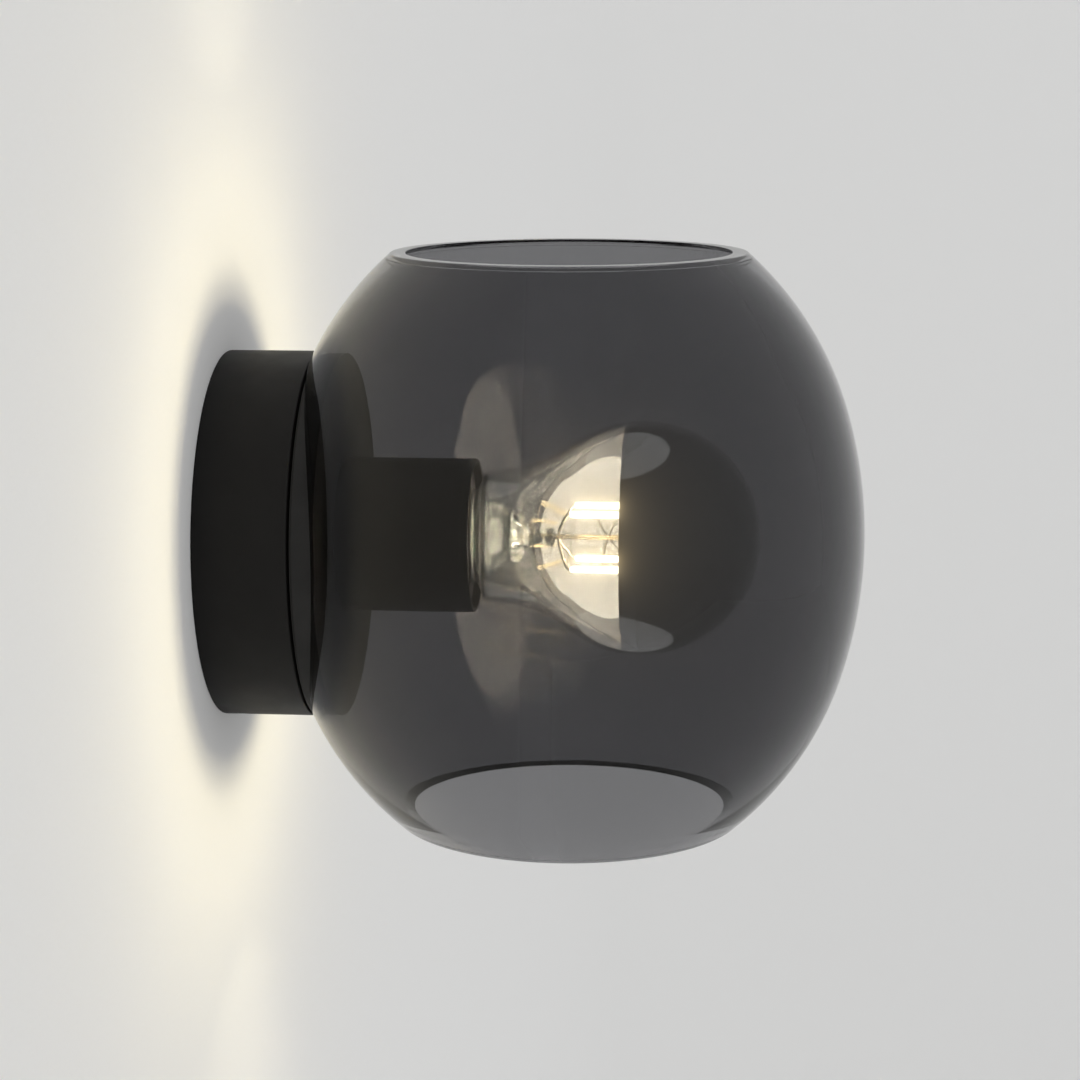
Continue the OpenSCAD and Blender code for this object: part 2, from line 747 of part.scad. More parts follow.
module fixing_ring() {
    color([0.1, 0.1, 0.1]) difference() {
        collar(ring_r, cup_hole_r, cup_depth, ring_front_d);
        for (i = [0 : ring_notches - 1])
            outward() rotate([0, 0, 360 * i / ring_notches])
                translate([ring_r - notch_depth, -notch_w / 2, cup_depth - overrun])
                    cube([notch_depth + overrun, notch_w, ring_t + 2 * overrun]);
    }
}

module screw_shell() {
    color("lightgray") outward() rotate_extrude() polygon([
        [shell_lip_r, floor_front_d], [shell_r, floor_front_d], [shell_r, barrel_front_d - shell_inset],
        [shell_in_r, barrel_front_d - shell_inset], [shell_in_r, floor_front_d + shell_t],
        [shell_lip_r, floor_front_d + shell_t]
    ]);
}

module centre_contact() {
    low = floor_front_d;
    top = contact_top_d;
    heel = contact_reach - contact_flat;
    color("goldenrod") outward() translate([0, contact_w / 2, 0]) rotate([90, 0, 0])
        linear_extrude(height = contact_w) polygon([
            [-contact_reach, low], [-heel, low], [-contact_flat, top - contact_t],
            [contact_flat, top - contact_t], [contact_flat, top], [-contact_flat - contact_t / 2, top],
            [-heel - contact_t / 2, low + contact_t], [-contact_reach, low + contact_t]
        ]);
}

module holder_terminals() {
    color("goldenrod") for (side = [-1, 1]) difference() {
        outward() translate([side * term_x - term_w / 2, -term_tall / 2, term_back_d])
            cube([term_w, term_tall, term_deep]);
        peg([side * term_x, -term_row], term_screw_r + screw_gap, term_back_d - overrun,
            term_back_d + term_bore_l);
    }
}

module holder_screws() {
    color("silver") for (side = [-1, 1]) {
        at = [side * term_x, -term_row];
        peg(at, term_screw_r, term_back_d, term_back_d + term_bore_l - slip);
        difference() {
            peg(at, term_head_r, term_back_d - term_head_h, term_back_d);
            outward() translate([at[0], at[1], term_back_d - term_head_h])
                cube([clamp_slot_w, 2 * term_head_r + overrun, 2 * clamp_slot_h], center = true);
        }
    }
}

module cap_contact() {
    color("silver") outward() rotate_extrude() polygon([
        [0, tip_d], [contact_r / 2, tip_d], [contact_r, tip_d + contact_dome],
        [contact_r, tip_d + contact_h], [0, tip_d + contact_h]
    ]);
}

module cap_insulator() {
    back = tip_d + contact_h;
    color([0.08, 0.06, 0.1]) outward() rotate_extrude() polygon([
        [0, back], [insulator_tip_r, back], [cap_end_r, cap_end_d - insulator_t],
        [cap_end_r, cap_end_d], [0, cap_end_d]
    ]);
}

module lamp_cap() {
    steps = thread_steps * thread_turns;
    ridge = [
        for (i = [0 : steps]) [
            thread_mid_r - thread_depth / 2 * cos(360 * i / thread_steps),
            thread_low_d + thread_pitch * i / thread_steps
        ]
    ];
    color("gainsboro") outward() rotate_extrude() polygon(concat(
        [[cap_end_r - 2 * cap_sheet, cap_end_d], [cap_end_r, cap_end_d]],
        ridge,
        [
            [skirt_r, skirt_end_d - skirt_l + cap_sheet], [skirt_r, skirt_end_d],
            [skirt_r - cap_sheet, skirt_end_d], [skirt_r - cap_sheet, skirt_end_d - skirt_l + 2 * cap_sheet],
            [cap_inner_r, skirt_end_d - skirt_l - cap_sheet], [cap_inner_r, thread_low_d],
            [cap_end_r - 2 * cap_sheet, cap_end_d + cap_sheet]
        ]
    ));
}

module lamp_envelope() {
    outer = bulb_curve(0);
    inner = bulb_curve(bulb_wall);
    color([0.9, 0.9, 0.85, 0.3]) outward() rotate_extrude()
        polygon(concat(outer, [for (i = [len(inner) - 1 : -1 : 0]) inner[i]]));
}

module mirror_crown() {
    r = bulb_r - bulb_wall - mirror_gap;
    color("silver") outward() rotate_extrude() intersection() {
        difference() {
            translate([0, ball_d]) circle(r = r, $fn = 240);
            translate([0, ball_d]) circle(r = r - mirror_t, $fn = 240);
        }
        translate([0, mirror_edge_d]) square([bulb_d, bulb_d]);
    }
}

module lamp_stem() {
    color([0.9, 0.9, 0.85, 0.4]) outward() rotate_extrude() polygon([
        [stem_flare_r, stem_low_d], [stem_flare_r, stem_foot_d], [stem_tube_r, stem_tube_d],
        [stem_tube_r, stem_cone_d],
        [stem_tip_r, stem_neck_d], [stem_tip_r, stem_top_d - stem_tip_r / 2], [stem_tip_r / 2, stem_top_d],
        [0, stem_top_d], [0, stem_neck_d], [stem_tip_r / 2, stem_neck_d - stem_wall],
        [stem_tube_r - stem_wall, stem_cone_d - stem_wall], [stem_tube_r - stem_wall, stem_tube_d],
        [stem_flare_r - stem_wall, stem_foot_d], [stem_flare_r - stem_wall, stem_low_d]
    ]);
}

// A thin wire from one point to another, in (x, up, out)
module wire(from, to) {
    v = to - from;
    outward() translate(from) rotate([0, acos(v[2] / norm(v)), atan2(v[1], v[0])])
        cylinder(r = wire_r, h = norm(v), $fn = 16);
}

module stem_wires() {
    low_hub = stem_top_d + slip;
    top_hub = filament_top_d;
    color("gray") union() {
        peg([0, 0], wire_r * 2, low_hub, top_hub + hub_h);
        peg([0, 0], hub_r, low_hub, low_hub + hub_h);
        peg([0, 0], hub_r, top_hub, top_hub + hub_h);
        for (x = [-1, 1], up = [-1, 1]) {
            foot = [x * filament_side, up * filament_side];
            wire([0, 0, low_hub + hub_h / 2], [foot[0], foot[1], filament_low_d - slip / 2]);
            wire([0, 0, top_hub + hub_h / 2], [foot[0], foot[1], top_hub + hub_h / 2]);
            peg(foot, pin_r, top_hub + slip / 2, top_hub + hub_h / 2 + pin_r);
        }
    }
}

module filaments() {
    color("khaki") for (x = [-1, 1], up = [-1, 1])
        peg([x * filament_side, up * filament_side], filament_r, filament_low_d + slip / 2, filament_top_d);
}

module driver_board() {
    color("seagreen") collar(board_r, wire_r, board_d, board_d + board_t);
}

module driver_parts() {
    top = board_d + board_t;
    color("dimgray") {
        peg([capacitor_x, 0], capacitor_r, top, top + capacitor_h);
        peg([-capacitor_x / 2, coil_up], coil_r, top, top + coil_h);
        outward() translate([-capacitor_x - chip_w / 2, -coil_up, top]) cube([chip_w, chip_w, chip_t]);
    }
}

wall_bracket();
terminal_block();
pole_sleeves();
clamp_screws();
block_screws();
earth_lug();
earth_screw();
live_lead();
neutral_lead();
earth_lead();
canopy_cup();
canopy_grub_screws();
gap_spacer();
front_disc();
disc_screws();
glass_sleeve();
glass_clips();
clip_screws();
glass_shade();
holder_sleeve();
lampholder_body();
fixing_ring();
screw_shell();
centre_contact();
holder_terminals();
holder_screws();
cap_contact();
cap_insulator();
lamp_cap();
lamp_envelope();
mirror_crown();
lamp_stem();
stem_wires();
filaments();
driver_board();
driver_parts();
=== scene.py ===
"""Looks of a globe wall sconce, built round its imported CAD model.

A black canopy and disc carry a smoked glass globe, open at its top and bottom. A lamp with
a mirrored crown stands in a black holder inside it. Sizes are in millimetres, as in the
part's source: radii from the piece's own axis, and d as the distance out from the wall.
"""

import logging
import math
from collections.abc import Callable, Iterable, Sequence
from dataclasses import astuple, dataclass
from enum import Enum

import bmesh
import bpy
from bpy.types import Material, Mesh, Node, NodeSocket, NodeTree, Object
from mathutils import Matrix, Vector

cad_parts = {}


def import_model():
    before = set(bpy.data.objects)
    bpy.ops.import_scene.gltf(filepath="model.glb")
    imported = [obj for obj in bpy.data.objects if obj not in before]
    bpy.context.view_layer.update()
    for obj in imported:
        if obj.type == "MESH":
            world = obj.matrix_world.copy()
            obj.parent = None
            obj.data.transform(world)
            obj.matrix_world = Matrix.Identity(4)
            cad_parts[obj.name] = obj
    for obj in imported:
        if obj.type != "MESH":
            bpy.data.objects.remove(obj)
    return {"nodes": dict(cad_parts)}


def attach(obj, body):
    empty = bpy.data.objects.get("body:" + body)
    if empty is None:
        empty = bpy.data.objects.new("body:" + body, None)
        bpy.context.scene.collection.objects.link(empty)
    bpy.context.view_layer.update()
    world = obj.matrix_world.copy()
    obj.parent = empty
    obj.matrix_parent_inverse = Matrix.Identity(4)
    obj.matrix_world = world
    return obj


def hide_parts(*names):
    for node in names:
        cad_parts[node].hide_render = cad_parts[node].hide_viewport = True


log = logging.getLogger("sconce")

MM = 0.001
SHARP_ANGLE = math.radians(32)
THREAD_PITCH = 3.629
DRILL_SIDES = 96
# The Mix node's colour sockets share their names with others, so they go by number.
MIX_A, MIX_B, MIX_COLOUR = 6, 7, 2
MATH = "ShaderNodeMath"

Point2 = tuple[float, float]
Point3 = tuple[float, float, float]
Outline = list[Point2]

TO_WALL: Point3 = (0.0, 1.0, 0.0)
TO_ROOM: Point3 = (0.0, -1.0, 0.0)


class Axis(Enum):
    """The line that a turned piece is spun round."""

    OUT = "out from the wall"
    UP = "upright"


class Body(Enum):
    """The CAD bodies that new pieces ride on."""

    FIXTURE = "fixture"
    LAMP = "lamp"


class Grain(Enum):
    """How a surface was made, which sets the pattern on it."""

    MOULDED = "fine round grains, as on moulded plastic or powder coat"
    DRAWN = "fine lines along the piece, as on drawn metal or extruded cable"
    SPANGLED = "patches of crystals, as on zinc"


class Drive(Enum):
    """The recess that a screw is turned by."""

    SLOT = "one straight slot"
    CROSS = "two crossed slots"
    HEX = "a six-sided socket"


# ---------------------------------------------------------------- small tools


def linear(code: str) -> tuple[float, float, float, float]:
    """Turns an sRGB hex colour to linear light.

    Args:
        code: A # and six hex digits.

    Returns:
        Red, green, blue and alpha, linear.
    """
    shares = [int(code[i : i + 2], 16) / 255 for i in (1, 3, 5)]
    light = [s / 12.92 if s <= 0.04045 else ((s + 0.055) / 1.055) ** 2.4 for s in shares]
    return (light[0], light[1], light[2], 1.0)


def add_node(tree: NodeTree, kind: str, values: dict[str | int, object] | None = None) -> Node:
    """Adds a node with its settings and links.

    Args:
        tree: The tree to add to.
        kind: The node's type name.
        values: What goes into each input, by its name or number, or into a property of the
            node. A socket is linked, a node is linked by its first output, and anything
            else is set.

    Returns:
        The new node.
    """
    made = tree.nodes.new(kind)
    for key, value in (values or {}).items():
        if isinstance(value, (Node, NodeSocket)):
            source = value.outputs[0] if isinstance(value, Node) else value
            tree.links.new(source, made.inputs[key])
        elif isinstance(key, int) or key in made.inputs:
            made.inputs[key].default_value = value
        else:
            setattr(made, key, value)
    return made


def new_object(name: str, mesh: Mesh) -> Object:
    """Puts a mesh in the scene as an object at the origin.

    Args:
        name: The piece's name.
        mesh: Its mesh, in the shared frame.

    Returns:
        The object.
    """
    made = bpy.data.objects.new(name, mesh)
    bpy.context.scene.collection.objects.link(made)
    return made


def smooth(mesh: Mesh) -> None:
    """Shades a mesh smooth and keeps its real edges sharp."""
    mesh.shade_smooth()
    mesh.set_sharp_from_angle(angle=SHARP_ANGLE)


def out_point(x: float, up: float, d: float) -> Vector:
    """Turns (across, up, out from the wall) in mm to a point of the frame in metres."""
    return Vector((x, -d, up)) * MM


def on_axis(axis: Axis, centre_d: float, radius: float, height: float, angle: float) -> Point3:
    """Gives the place in the frame of a point on a turned piece.

    Args:
        axis: The piece's axis.
        centre_d: How far an upright axis stands from the wall, in mm.
        radius: Distance from the axis, in mm.
        height: Distance along the axis, in mm.
        angle: Angle round the axis, in radians.

    Returns:
        The point, in metres.
    """
    c, s = radius * math.cos(angle), radius * math.sin(angle)
    if axis is Axis.OUT:
        return (c * MM, -height * MM, s * MM)
    return (c * MM, (s - centre_d) * MM, height * MM)


def turned_mesh(
    name: str,
    outline: Outline | Callable[[float], Outline],
    sides: int,
    axis: Axis = Axis.OUT,
    centre_d: float = 0.0,
) -> Mesh:
    """Spins a closed outline round an axis into a closed shell with its faces outwards.

    Args:
        name: The mesh's name.
        outline: Points as (radius, height) in mm, or a function that gives them by angle.
        sides: How many steps the turn has.
        axis: The axis of the turn.
        centre_d: How far an upright axis stands from the wall, in mm.

    Returns:
        The mesh, in metres.
    """
    shell = bmesh.new()
    rings = []
    for k in range(sides):
        angle = 2 * math.pi * k / sides
        points = outline(angle) if callable(outline) else outline
        rings.append([shell.verts.new(on_axis(axis, centre_d, r, h, angle)) for r, h in points])
    for k, near in enumerate(rings):
        far = rings[(k + 1) % sides]
        for i in range(len(near)):
            j = (i + 1) % len(near)
            shell.faces.new((near[i], near[j], far[j], far[i]))
    bmesh.ops.remove_doubles(shell, verts=shell.verts, dist=1e-7)
    bmesh.ops.dissolve_degenerate(shell, edges=shell.edges, dist=1e-8)
    bmesh.ops.recalc_face_normals(shell, faces=shell.faces)
    mesh = bpy.data.meshes.new(name)
    shell.to_mesh(mesh)
    shell.free()
    smooth(mesh)
    return mesh


def eased(outline: Outline, radius: float, steps: int = 4) -> Outline:
    """Rounds the corners of a closed outline, as a deburred or moulded edge is.

    Args:
        outline: Points as (radius, height) in mm.
        radius: How far from each corner the rounding starts, in mm.
        steps: Pieces of each rounding.

    Returns:
        The outline with rounded corners. Points on the axis and on curves stay.
    """
    # Corners that turn less than this are points of a curve, and stay.
    curve_turn, most_share = 2.7, 0.45
    made: Outline = []
    for i, here in enumerate(outline):
        before, after = Vector(outline[i - 1]), Vector(outline[(i + 1) % len(outline)])
        corner = Vector(here)
        back, on = before - corner, after - corner
        if here[0] < 1e-6 or back.length < 1e-6 or on.length < 1e-6 or back.angle(on) > curve_turn:
            made.append(here)
            continue
        reach = min(radius, most_share * back.length, most_share * on.length)
        start, end = corner + reach * back.normalized(), corner + reach * on.normalized()
        for k in range(steps + 1):
            t = k / steps
            p = (1 - t) ** 2 * start + 2 * t * (1 - t) * corner + t * t * end
            made.append((p.x, p.y))
    return made


def arc(centre: Point2, radius: float, start: float, end: float, steps: int) -> Outline:
    """Gives points along an arc.

    Args:
        centre: The arc's centre, in mm.
        radius: Its radius, in mm.
        start: Angle of the first point, in radians.
        end: Angle of the last point, in radians.
        steps: How many pieces the arc has.

    Returns:
        The points, first to last.
    """
    angles = [start + (end - start) * i / steps for i in range(steps + 1)]
    return [(centre[0] + radius * math.cos(a), centre[1] + radius * math.sin(a)) for a in angles]


def refined(points: Outline, steps: int) -> Outline:
    """Runs a smooth curve through points.

    Args:
        points: Points as (radius, height) in mm.
        steps: New pieces for each old one.

    Returns:
        The finer row of points, which passes through the old ones.
    """
    made: Outline = []
    last = len(points) - 1
    for i in range(last):
        p = [Vector(points[min(max(i + k, 0), last)]) for k in (-1, 0, 1, 2)]
        for s in range(steps):
            t = s / steps
            at = 0.5 * (
                2 * p[1]
                + (p[2] - p[0]) * t
                + (2 * p[0] - 5 * p[1] + 4 * p[2] - p[3]) * t * t
                + (3 * p[1] - p[0] - 3 * p[2] + p[3]) * t**3
            )
            made.append((max(at.x, 0.0), at.y))
    return [*made, points[-1]]


def path_mesh(name: str, paths: Iterable[Sequence[Vector]]) -> Mesh:
    """Makes a mesh of bare edges, for a recipe to follow.

    Args:
        name: The mesh's name.
        paths: The points of each line, in metres.

    Returns:
        The mesh.
    """
    points: list[Vector] = []
    edges: list[tuple[int, int]] = []
    for path in paths:
        first = len(points)
        points.extend(path)
        edges.extend((i, i + 1) for i in range(first, len(points) - 1))
    mesh = bpy.data.meshes.new(name)
    mesh.from_pydata(points, edges, [])
    return mesh


def drill(piece: Object, centre: Vector, way: Vector, radius: float, length: float) -> None:
    """Drills a round hole into a piece for good.

    Args:
        piece: The piece, which keeps its place.
        centre: The middle of the hole, in metres.
        way: The direction of the hole.
        radius: Its radius, in mm.
        length: Its length, in mm.
    """
    tool = bmesh.new()
    bmesh.ops.create_cone(
        tool,
        cap_ends=True,
        segments=DRILL_SIDES,
        radius1=radius * MM,
        radius2=radius * MM,
        depth=length * MM,
        matrix=Matrix.Translation(centre) @ way.to_track_quat("Z", "Y").to_matrix().to_4x4(),
    )
    mesh = bpy.data.meshes.new("drill")
    tool.to_mesh(mesh)
    tool.free()
    bit = new_object("drill", mesh)
    cut = piece.modifiers.new("cut", "BOOLEAN")
    cut.operation, cut.solver, cut.object = "DIFFERENCE", "EXACT", bit
    graph = bpy.context.evaluated_depsgraph_get()
    drilled = bpy.data.meshes.new_from_object(piece.evaluated_get(graph))
    piece.modifiers.remove(cut)
    piece.data = drilled
    smooth(drilled)
    bpy.data.objects.remove(bit)


def mark_thread(mesh: Mesh, span: Point2, fade: float, most_r: float, sink: float = 0.0) -> None:
    """Marks how much thread each point of a turned shell takes.

    Args:
        mesh: The shell, whose axis runs out from the wall.
        span: Where the thread starts and ends, as distances from the wall in mm.
        fade: Over what length it fades in and out, in mm.
        most_r: Only points nearer the axis than this take thread, in mm.
        sink: How far marked points first move towards the axis, in mm.
    """
    marks = mesh.attributes.new("thread", "FLOAT", "POINT")
    for vertex in mesh.vertices:
        d = -vertex.co.y / MM
        radius = math.hypot(vertex.co.x, vertex.co.z) / MM
        near = min(max(min(d - span[0], span[1] - d) / fade, 0.0), 1.0)
        share = near * near * (3 - 2 * near) if radius < most_r else 0.0
        marks.data[vertex.index].value = share
        if sink and share:
            scale = 1 - sink * share / radius
            vertex.co.x *= scale
            vertex.co.z *= scale


# ---------------------------------------------------------------- finishes


@dataclass(frozen=True)
class Surface:
    """What each finish has: a name, the record's slot, and two tints that it runs between."""

    name: str
    slot: str
    tint: str
    tint_deep: str

    def build(self) -> Material:
        """Makes the material.

        Returns:
            The material, with its patterns on Object coordinates.
        """
        made = bpy.data.materials.new(self.name)
        made.use_nodes = True
        tree = made.node_tree
        tree.nodes.clear()
        place = add_node(tree, "ShaderNodeTexCoord").outputs["Object"]
        add_node(tree, "ShaderNodeOutputMaterial", {"Surface": self._shader(tree, place)})
        return made

    def _shader(self, tree: NodeTree, place: NodeSocket) -> Node:
        """Adds the nodes of this kind of finish.

        Args:
            tree: The material's tree.
            place: The coordinates.

        Returns:
            The shader that the surface shows.
        """
        raise NotImplementedError

    def _colour(self, tree: NodeTree, share: Node | NodeSocket) -> NodeSocket:
        """Runs the colour from one tint to the other.

        Args:
            tree: The material's tree.
            share: How much of the deeper tint there is.

        Returns:
            The colour.
        """
        tints = {MIX_A: linear(self.tint), MIX_B: linear(self.tint_deep)}
        mix = add_node(tree, "ShaderNodeMix", {"data_type": "RGBA", 0: share} | tints)
        return mix.outputs[MIX_COLOUR]


@dataclass(frozen=True)
class Finish(Surface):
    """An opaque finish: its gloss, and the relief that its making leaves.

    roughness is the lowest and highest gloss, grain_mm the pattern's size, relief_mm its
    depth and drift_mm the size of the slow patches in its gloss.
    """

    roughness: Point2
    grain_mm: float
    relief_mm: float
    grain: Grain = Grain.MOULDED
    metallic: float = 0.0
    ior: float = 1.5
    drift_mm: float = 14.0

    def _shader(self, tree: NodeTree, place: NodeSocket) -> Node:
        """Adds a surface with drifting gloss and the grain in its colour and relief.

        Args:
            tree: The material's tree.
            place: The coordinates.

        Returns:
            The shader.
        """
        pattern = self._pattern(tree, place)
        patches = {"Scale": 1 / (self.drift_mm * MM), "Detail": 3.0, "Roughness": 0.55}
        drift = add_node(tree, "ShaderNodeTexNoise", patches | {"Vector": place})
        low, high = self.roughness
        spread = {"From Min": 0.3, "From Max": 0.7, "To Min": low, "To Max": high}
        gloss = add_node(tree, "ShaderNodeMapRange", spread | {"Value": drift})
        depth = {"Strength": 1.0, "Distance": self.relief_mm * MM}
        relief = add_node(tree, "ShaderNodeBump", depth | {"Height": pattern})
        look = {
            "Metallic": self.metallic,
            "Base Color": self._colour(tree, pattern),
            "Roughness": gloss,
            "Normal": relief,
        }
        if not self.metallic:
            look["IOR"] = self.ior
        return add_node(tree, "ShaderNodeBsdfPrincipled", look)

    def _pattern(self, tree: NodeTree, place: NodeSocket) -> Node | NodeSocket:
        """Adds the pattern of the way the surface was made.

        Args:
            tree: The material's tree.
            place: The coordinates.

        Returns:
            The pattern's value, from 0 to 1.
        """
        scale = 1 / (self.grain_mm * MM)
        if self.grain is Grain.SPANGLED:
            cells = {"feature": "F1", "Scale": scale, "Randomness": 1.0, "Vector": place}
            return add_node(tree, "ShaderNodeTexVoronoi", cells).outputs["Color"]
        if self.grain is Grain.DRAWN:
            along = {"vector_type": "POINT", "Scale": (1.0, 0.04, 1.0), "Vector": place}
            place = add_node(tree, "ShaderNodeMapping", along).outputs[0]
        grains = {"Scale": scale, "Detail": 2.0, "Roughness": 0.6, "Vector": place}
        return add_node(tree, "ShaderNodeTexNoise", grains)


@dataclass(frozen=True)
class GlassFinish(Surface):
    """Clear or tinted glass, which lets lamps light what is behind it.

    The tints are what light keeps after the whole wall, wave_mm is the size of the slow
    change between them, and lamp_tint what a lamp's ray keeps at each face.
    """

    lamp_tint: str
    wave_mm: float
    ior: float

    def _shader(self, tree: NodeTree, place: NodeSocket) -> Node:
        """Adds real glass for what is seen, and a plain pane for light on matt surfaces.

        Args:
            tree: The material's tree.
            place: The coordinates.

        Returns:
            The shader.
        """
        waves = {"Scale": 1 / (self.wave_mm * MM), "Detail": 1.0, "Vector": place}
        wave = add_node(tree, "ShaderNodeTexNoise", waves)
        body = {"IOR": self.ior, "Roughness": 0.0, "Transmission Weight": 1.0}
        look = body | {"Base Color": self._colour(tree, wave)}
        glass = add_node(tree, "ShaderNodeBsdfPrincipled", look)
        pane = add_node(tree, "ShaderNodeBsdfTransparent", {"Color": linear(self.lamp_tint)})
        path = add_node(tree, "ShaderNodeLightPath").outputs
        for ray in ("Is Diffuse Ray", "Is Shadow Ray"):
            glass = add_node(tree, "ShaderNodeMixShader", {0: path[ray], 1: glass, 2: pane})
        return glass


@dataclass(frozen=True)
class GlowFinish(Surface):
    """A surface that shines, with the colour and strength of its light.

    patch_mm is the size of the slow change in its colour, and fade_d the two distances from the
    wall between which the glow comes up, or None where it is even. Matt surfaces get the lamp's
    light from its own lights, so this glow is left out of matt bounces. The phosphor is a real
    lamp; on the mirror film's inner face the glow is a painted reflection of the filaments.
    """

    glow: str
    strength: float
    roughness: float
    patch_mm: float
    fade_d: Point2 | None = None

    def build(self) -> Material:
        """Makes the material, and keeps its faces out of the list of lamps.

        Returns:
            The material.
        """
        made = super().build()
        made.cycles.emission_sampling = "NONE"
        return made

    def _shader(self, tree: NodeTree, place: NodeSocket) -> Node:
        """Adds the glowing surface, and the same without its glow for matt bounces.

        Args:
            tree: The material's tree.
            place: The coordinates.

        Returns:
            The shader.
        """
        spots = {"Scale": 1 / (self.patch_mm * MM), "Detail": 2.0, "Vector": place}
        patches = add_node(tree, "ShaderNodeTexNoise", spots)
        own = {"Roughness": self.roughness, "Base Color": self._colour(tree, patches)}
        light = {"Emission Color": linear(self.glow), "Emission Strength": self.strength}
        # The fade shapes the mirror film's painted reflection: no glow towards its rim, the full
        # glow deeper in the crown.
        if self.fade_d:
            rise = {
                "interpolation_type": "SMOOTHSTEP",
                "From Min": -self.fade_d[0] * MM,
                "From Max": -self.fade_d[1] * MM,
                "To Max": self.strength,
                "Value": add_node(tree, "ShaderNodeSeparateXYZ", {0: place}).outputs[1],
            }
            light["Emission Strength"] = add_node(tree, "ShaderNodeMapRange", rise)
        shining = add_node(tree, "ShaderNodeBsdfPrincipled", own | light)
        dull = add_node(tree, "ShaderNodeBsdfPrincipled", own)
        matt = add_node(tree, "ShaderNodeLightPath").outputs["Is Diffuse Ray"]
        return add_node(tree, "ShaderNodeMixShader", {0: matt, 1: shining, 2: dull})


@dataclass(frozen=True)
class StagePaint(Surface):
    """Matt paint of the stage, seen from the room's side only. It has no slot."""

    roller_mm: float

    def _shader(self, tree: NodeTree, place: NodeSocket) -> Node:
        """Adds matt paint on the front and nothing on the back.

        Args:
            tree: The material's tree.
            place: The coordinates.

        Returns:
            The shader.
        """
        marks = {"Scale": 1 / (self.roller_mm * MM), "Detail": 2.0, "Vector": place}
        roller = add_node(tree, "ShaderNodeTexNoise", marks)
        look = {"Roughness": 0.0, "Color": self._colour(tree, roller)}
        matt = add_node(tree, "ShaderNodeBsdfDiffuse", look)
        through = add_node(tree, "ShaderNodeBsdfTransparent")
        back = add_node(tree, "ShaderNodeNewGeometry").outputs["Backfacing"]
        return add_node(tree, "ShaderNodeMixShader", {0: back, 1: matt, 2: through})


# Soda-lime glass, tinted grey in the melt and blown: a clear dark view, faintly warm. The
# low IOR keeps the lit crown's image in the far wall as faint as the photo has it.
SMOKED_GLASS = GlassFinish(
    "smoked_blown_glass", "smoked_glass", "#88888A", "#848487", "#DADADA", wave_mm=60.0, ior=1.26
)
# Soda-lime glass, blown thin: nearly invisible but for its rims and reflections. The high
# IOR gives it the strong reflections of the photo; the thin wall hardly bends the view.
BULB_GLASS = GlassFinish(
    "clear_blown_glass", "clear_glass", "#FBFCFA", "#F7F9F6", "#FBFBFA", wave_mm=30.0, ior=2.0
)
# Lead-free stem glass, pressed while soft: thick, with lines of light along its folds.
STEM_GLASS = GlassFinish(
    "pressed_stem_glass", "clear_glass", "#F2F5F2", "#E9EEEA", "#FBFBFA", wave_mm=3.0, ior=1.53
)
# Silver film on the inside of the bulb glass, seen through it: a dark, sharp mirror.
SILVER_FILM = Finish(
    "silver_mirror_film", "silver_mirror", "#A6A5A4", "#9F9E9D", (0.015, 0.03), 8.0, 0.0,
    metallic=1.0,
)
# The film's inner face: a painted reflection of the filaments, drawn as a warm glow that comes up
# from its rim.
CROWN_PAINTED_REFLECTION = GlowFinish(
    "silver_film_painted_reflection",
    "silver_mirror",
    "#4A4846",
    "#403E3C",
    glow="#FFF1D8",
    strength=480.0,
    roughness=0.5,
    patch_mm=12.0,
    fade_d=(117.0, 127.0),
)
# Phosphor in silicone over a row of diodes: white hot to the eye, with a warm edge.
PHOSPHOR = GlowFinish(
    "phosphor_silicone",
    "phosphor",
    "#F3D98A",
    "#E8C562",
    glow="#FFE9C4",
    strength=130.0,
    roughness=0.6,
    patch_mm=1.0,
)
# Polyester powder coat on steel: soft black with a fine orange peel of half a millimetre.
POWDER_BLACK = Finish(
    "powder_coated_steel", "black_metal", "#11100F", "#0D0C0C", (0.48, 0.6), 0.5, 0.012, ior=1.28
)
# Phenolic and nylon mouldings: black with a smoother, waxy sheen.
BLACK_NYLON = Finish(
    "moulded_black_nylon", "black_plastic", "#1B1B1C", "#131314", (0.36, 0.5), 0.25, 0.004
)
# Moulded polyamide of the wiring block: ivory, with a dull sheen and faint flow marks.
IVORY_NYLON = Finish(
    "moulded_ivory_nylon", "ivory_plastic", "#E6DFC8", "#D9D0B4", (0.38, 0.52), 0.8, 0.004
)
# Silicone rubber: deep black, matt and slightly dusty.
SILICONE = Finish(
    "black_silicone_rubber", "black_silicone", "#161617", "#101011", (0.62, 0.78), 0.3, 0.01,
    ior=1.41,
)
# Passivated zinc on pressed steel: pale blue-grey with soft crystal patches.
ZINC = Finish(
    "zinc_plated_steel", "zinc_steel", "#C4C8CC", "#A9AEB4", (0.28, 0.44), 1.6, 0.002,
    grain=Grain.SPANGLED, metallic=1.0,
)
# Black oxide on spring steel: near black with a dull metal glint.
BLACK_OXIDE = Finish(
    "black_oxide_steel", "dark_steel", "#3A3A3D", "#29292B", (0.36, 0.5), 0.4, 0.003, metallic=1.0
)
# Nickel-plated brass, rolled and drawn: bright warm grey with lines along the axis.
NICKEL = Finish(
    "nickel_plated_brass", "nickel", "#CFC8BC", "#B7B0A4", (0.16, 0.28), 0.35, 0.002,
    grain=Grain.DRAWN, metallic=1.0,
)
# Turned and stamped brass: yellow metal, slightly dulled.
BRASS = Finish(
    "bright_brass", "brass", "#D4B56A", "#BE9C50", (0.2, 0.34), 0.4, 0.002,
    grain=Grain.DRAWN, metallic=1.0,
)
# Tin solder, frozen from a drop: pale, softly dimpled.
SOLDER = Finish(
    "tin_solder", "solder", "#C9CACB", "#AFB0B2", (0.25, 0.42), 0.7, 0.03, metallic=1.0
)
# Opaque cap glass: violet-black and glossy.
CAP_GLASS = Finish(
    "black_cap_glass", "vitrite", "#17131C", "#0E0C12", (0.08, 0.16), 1.2, 0.02, ior=1.52
)
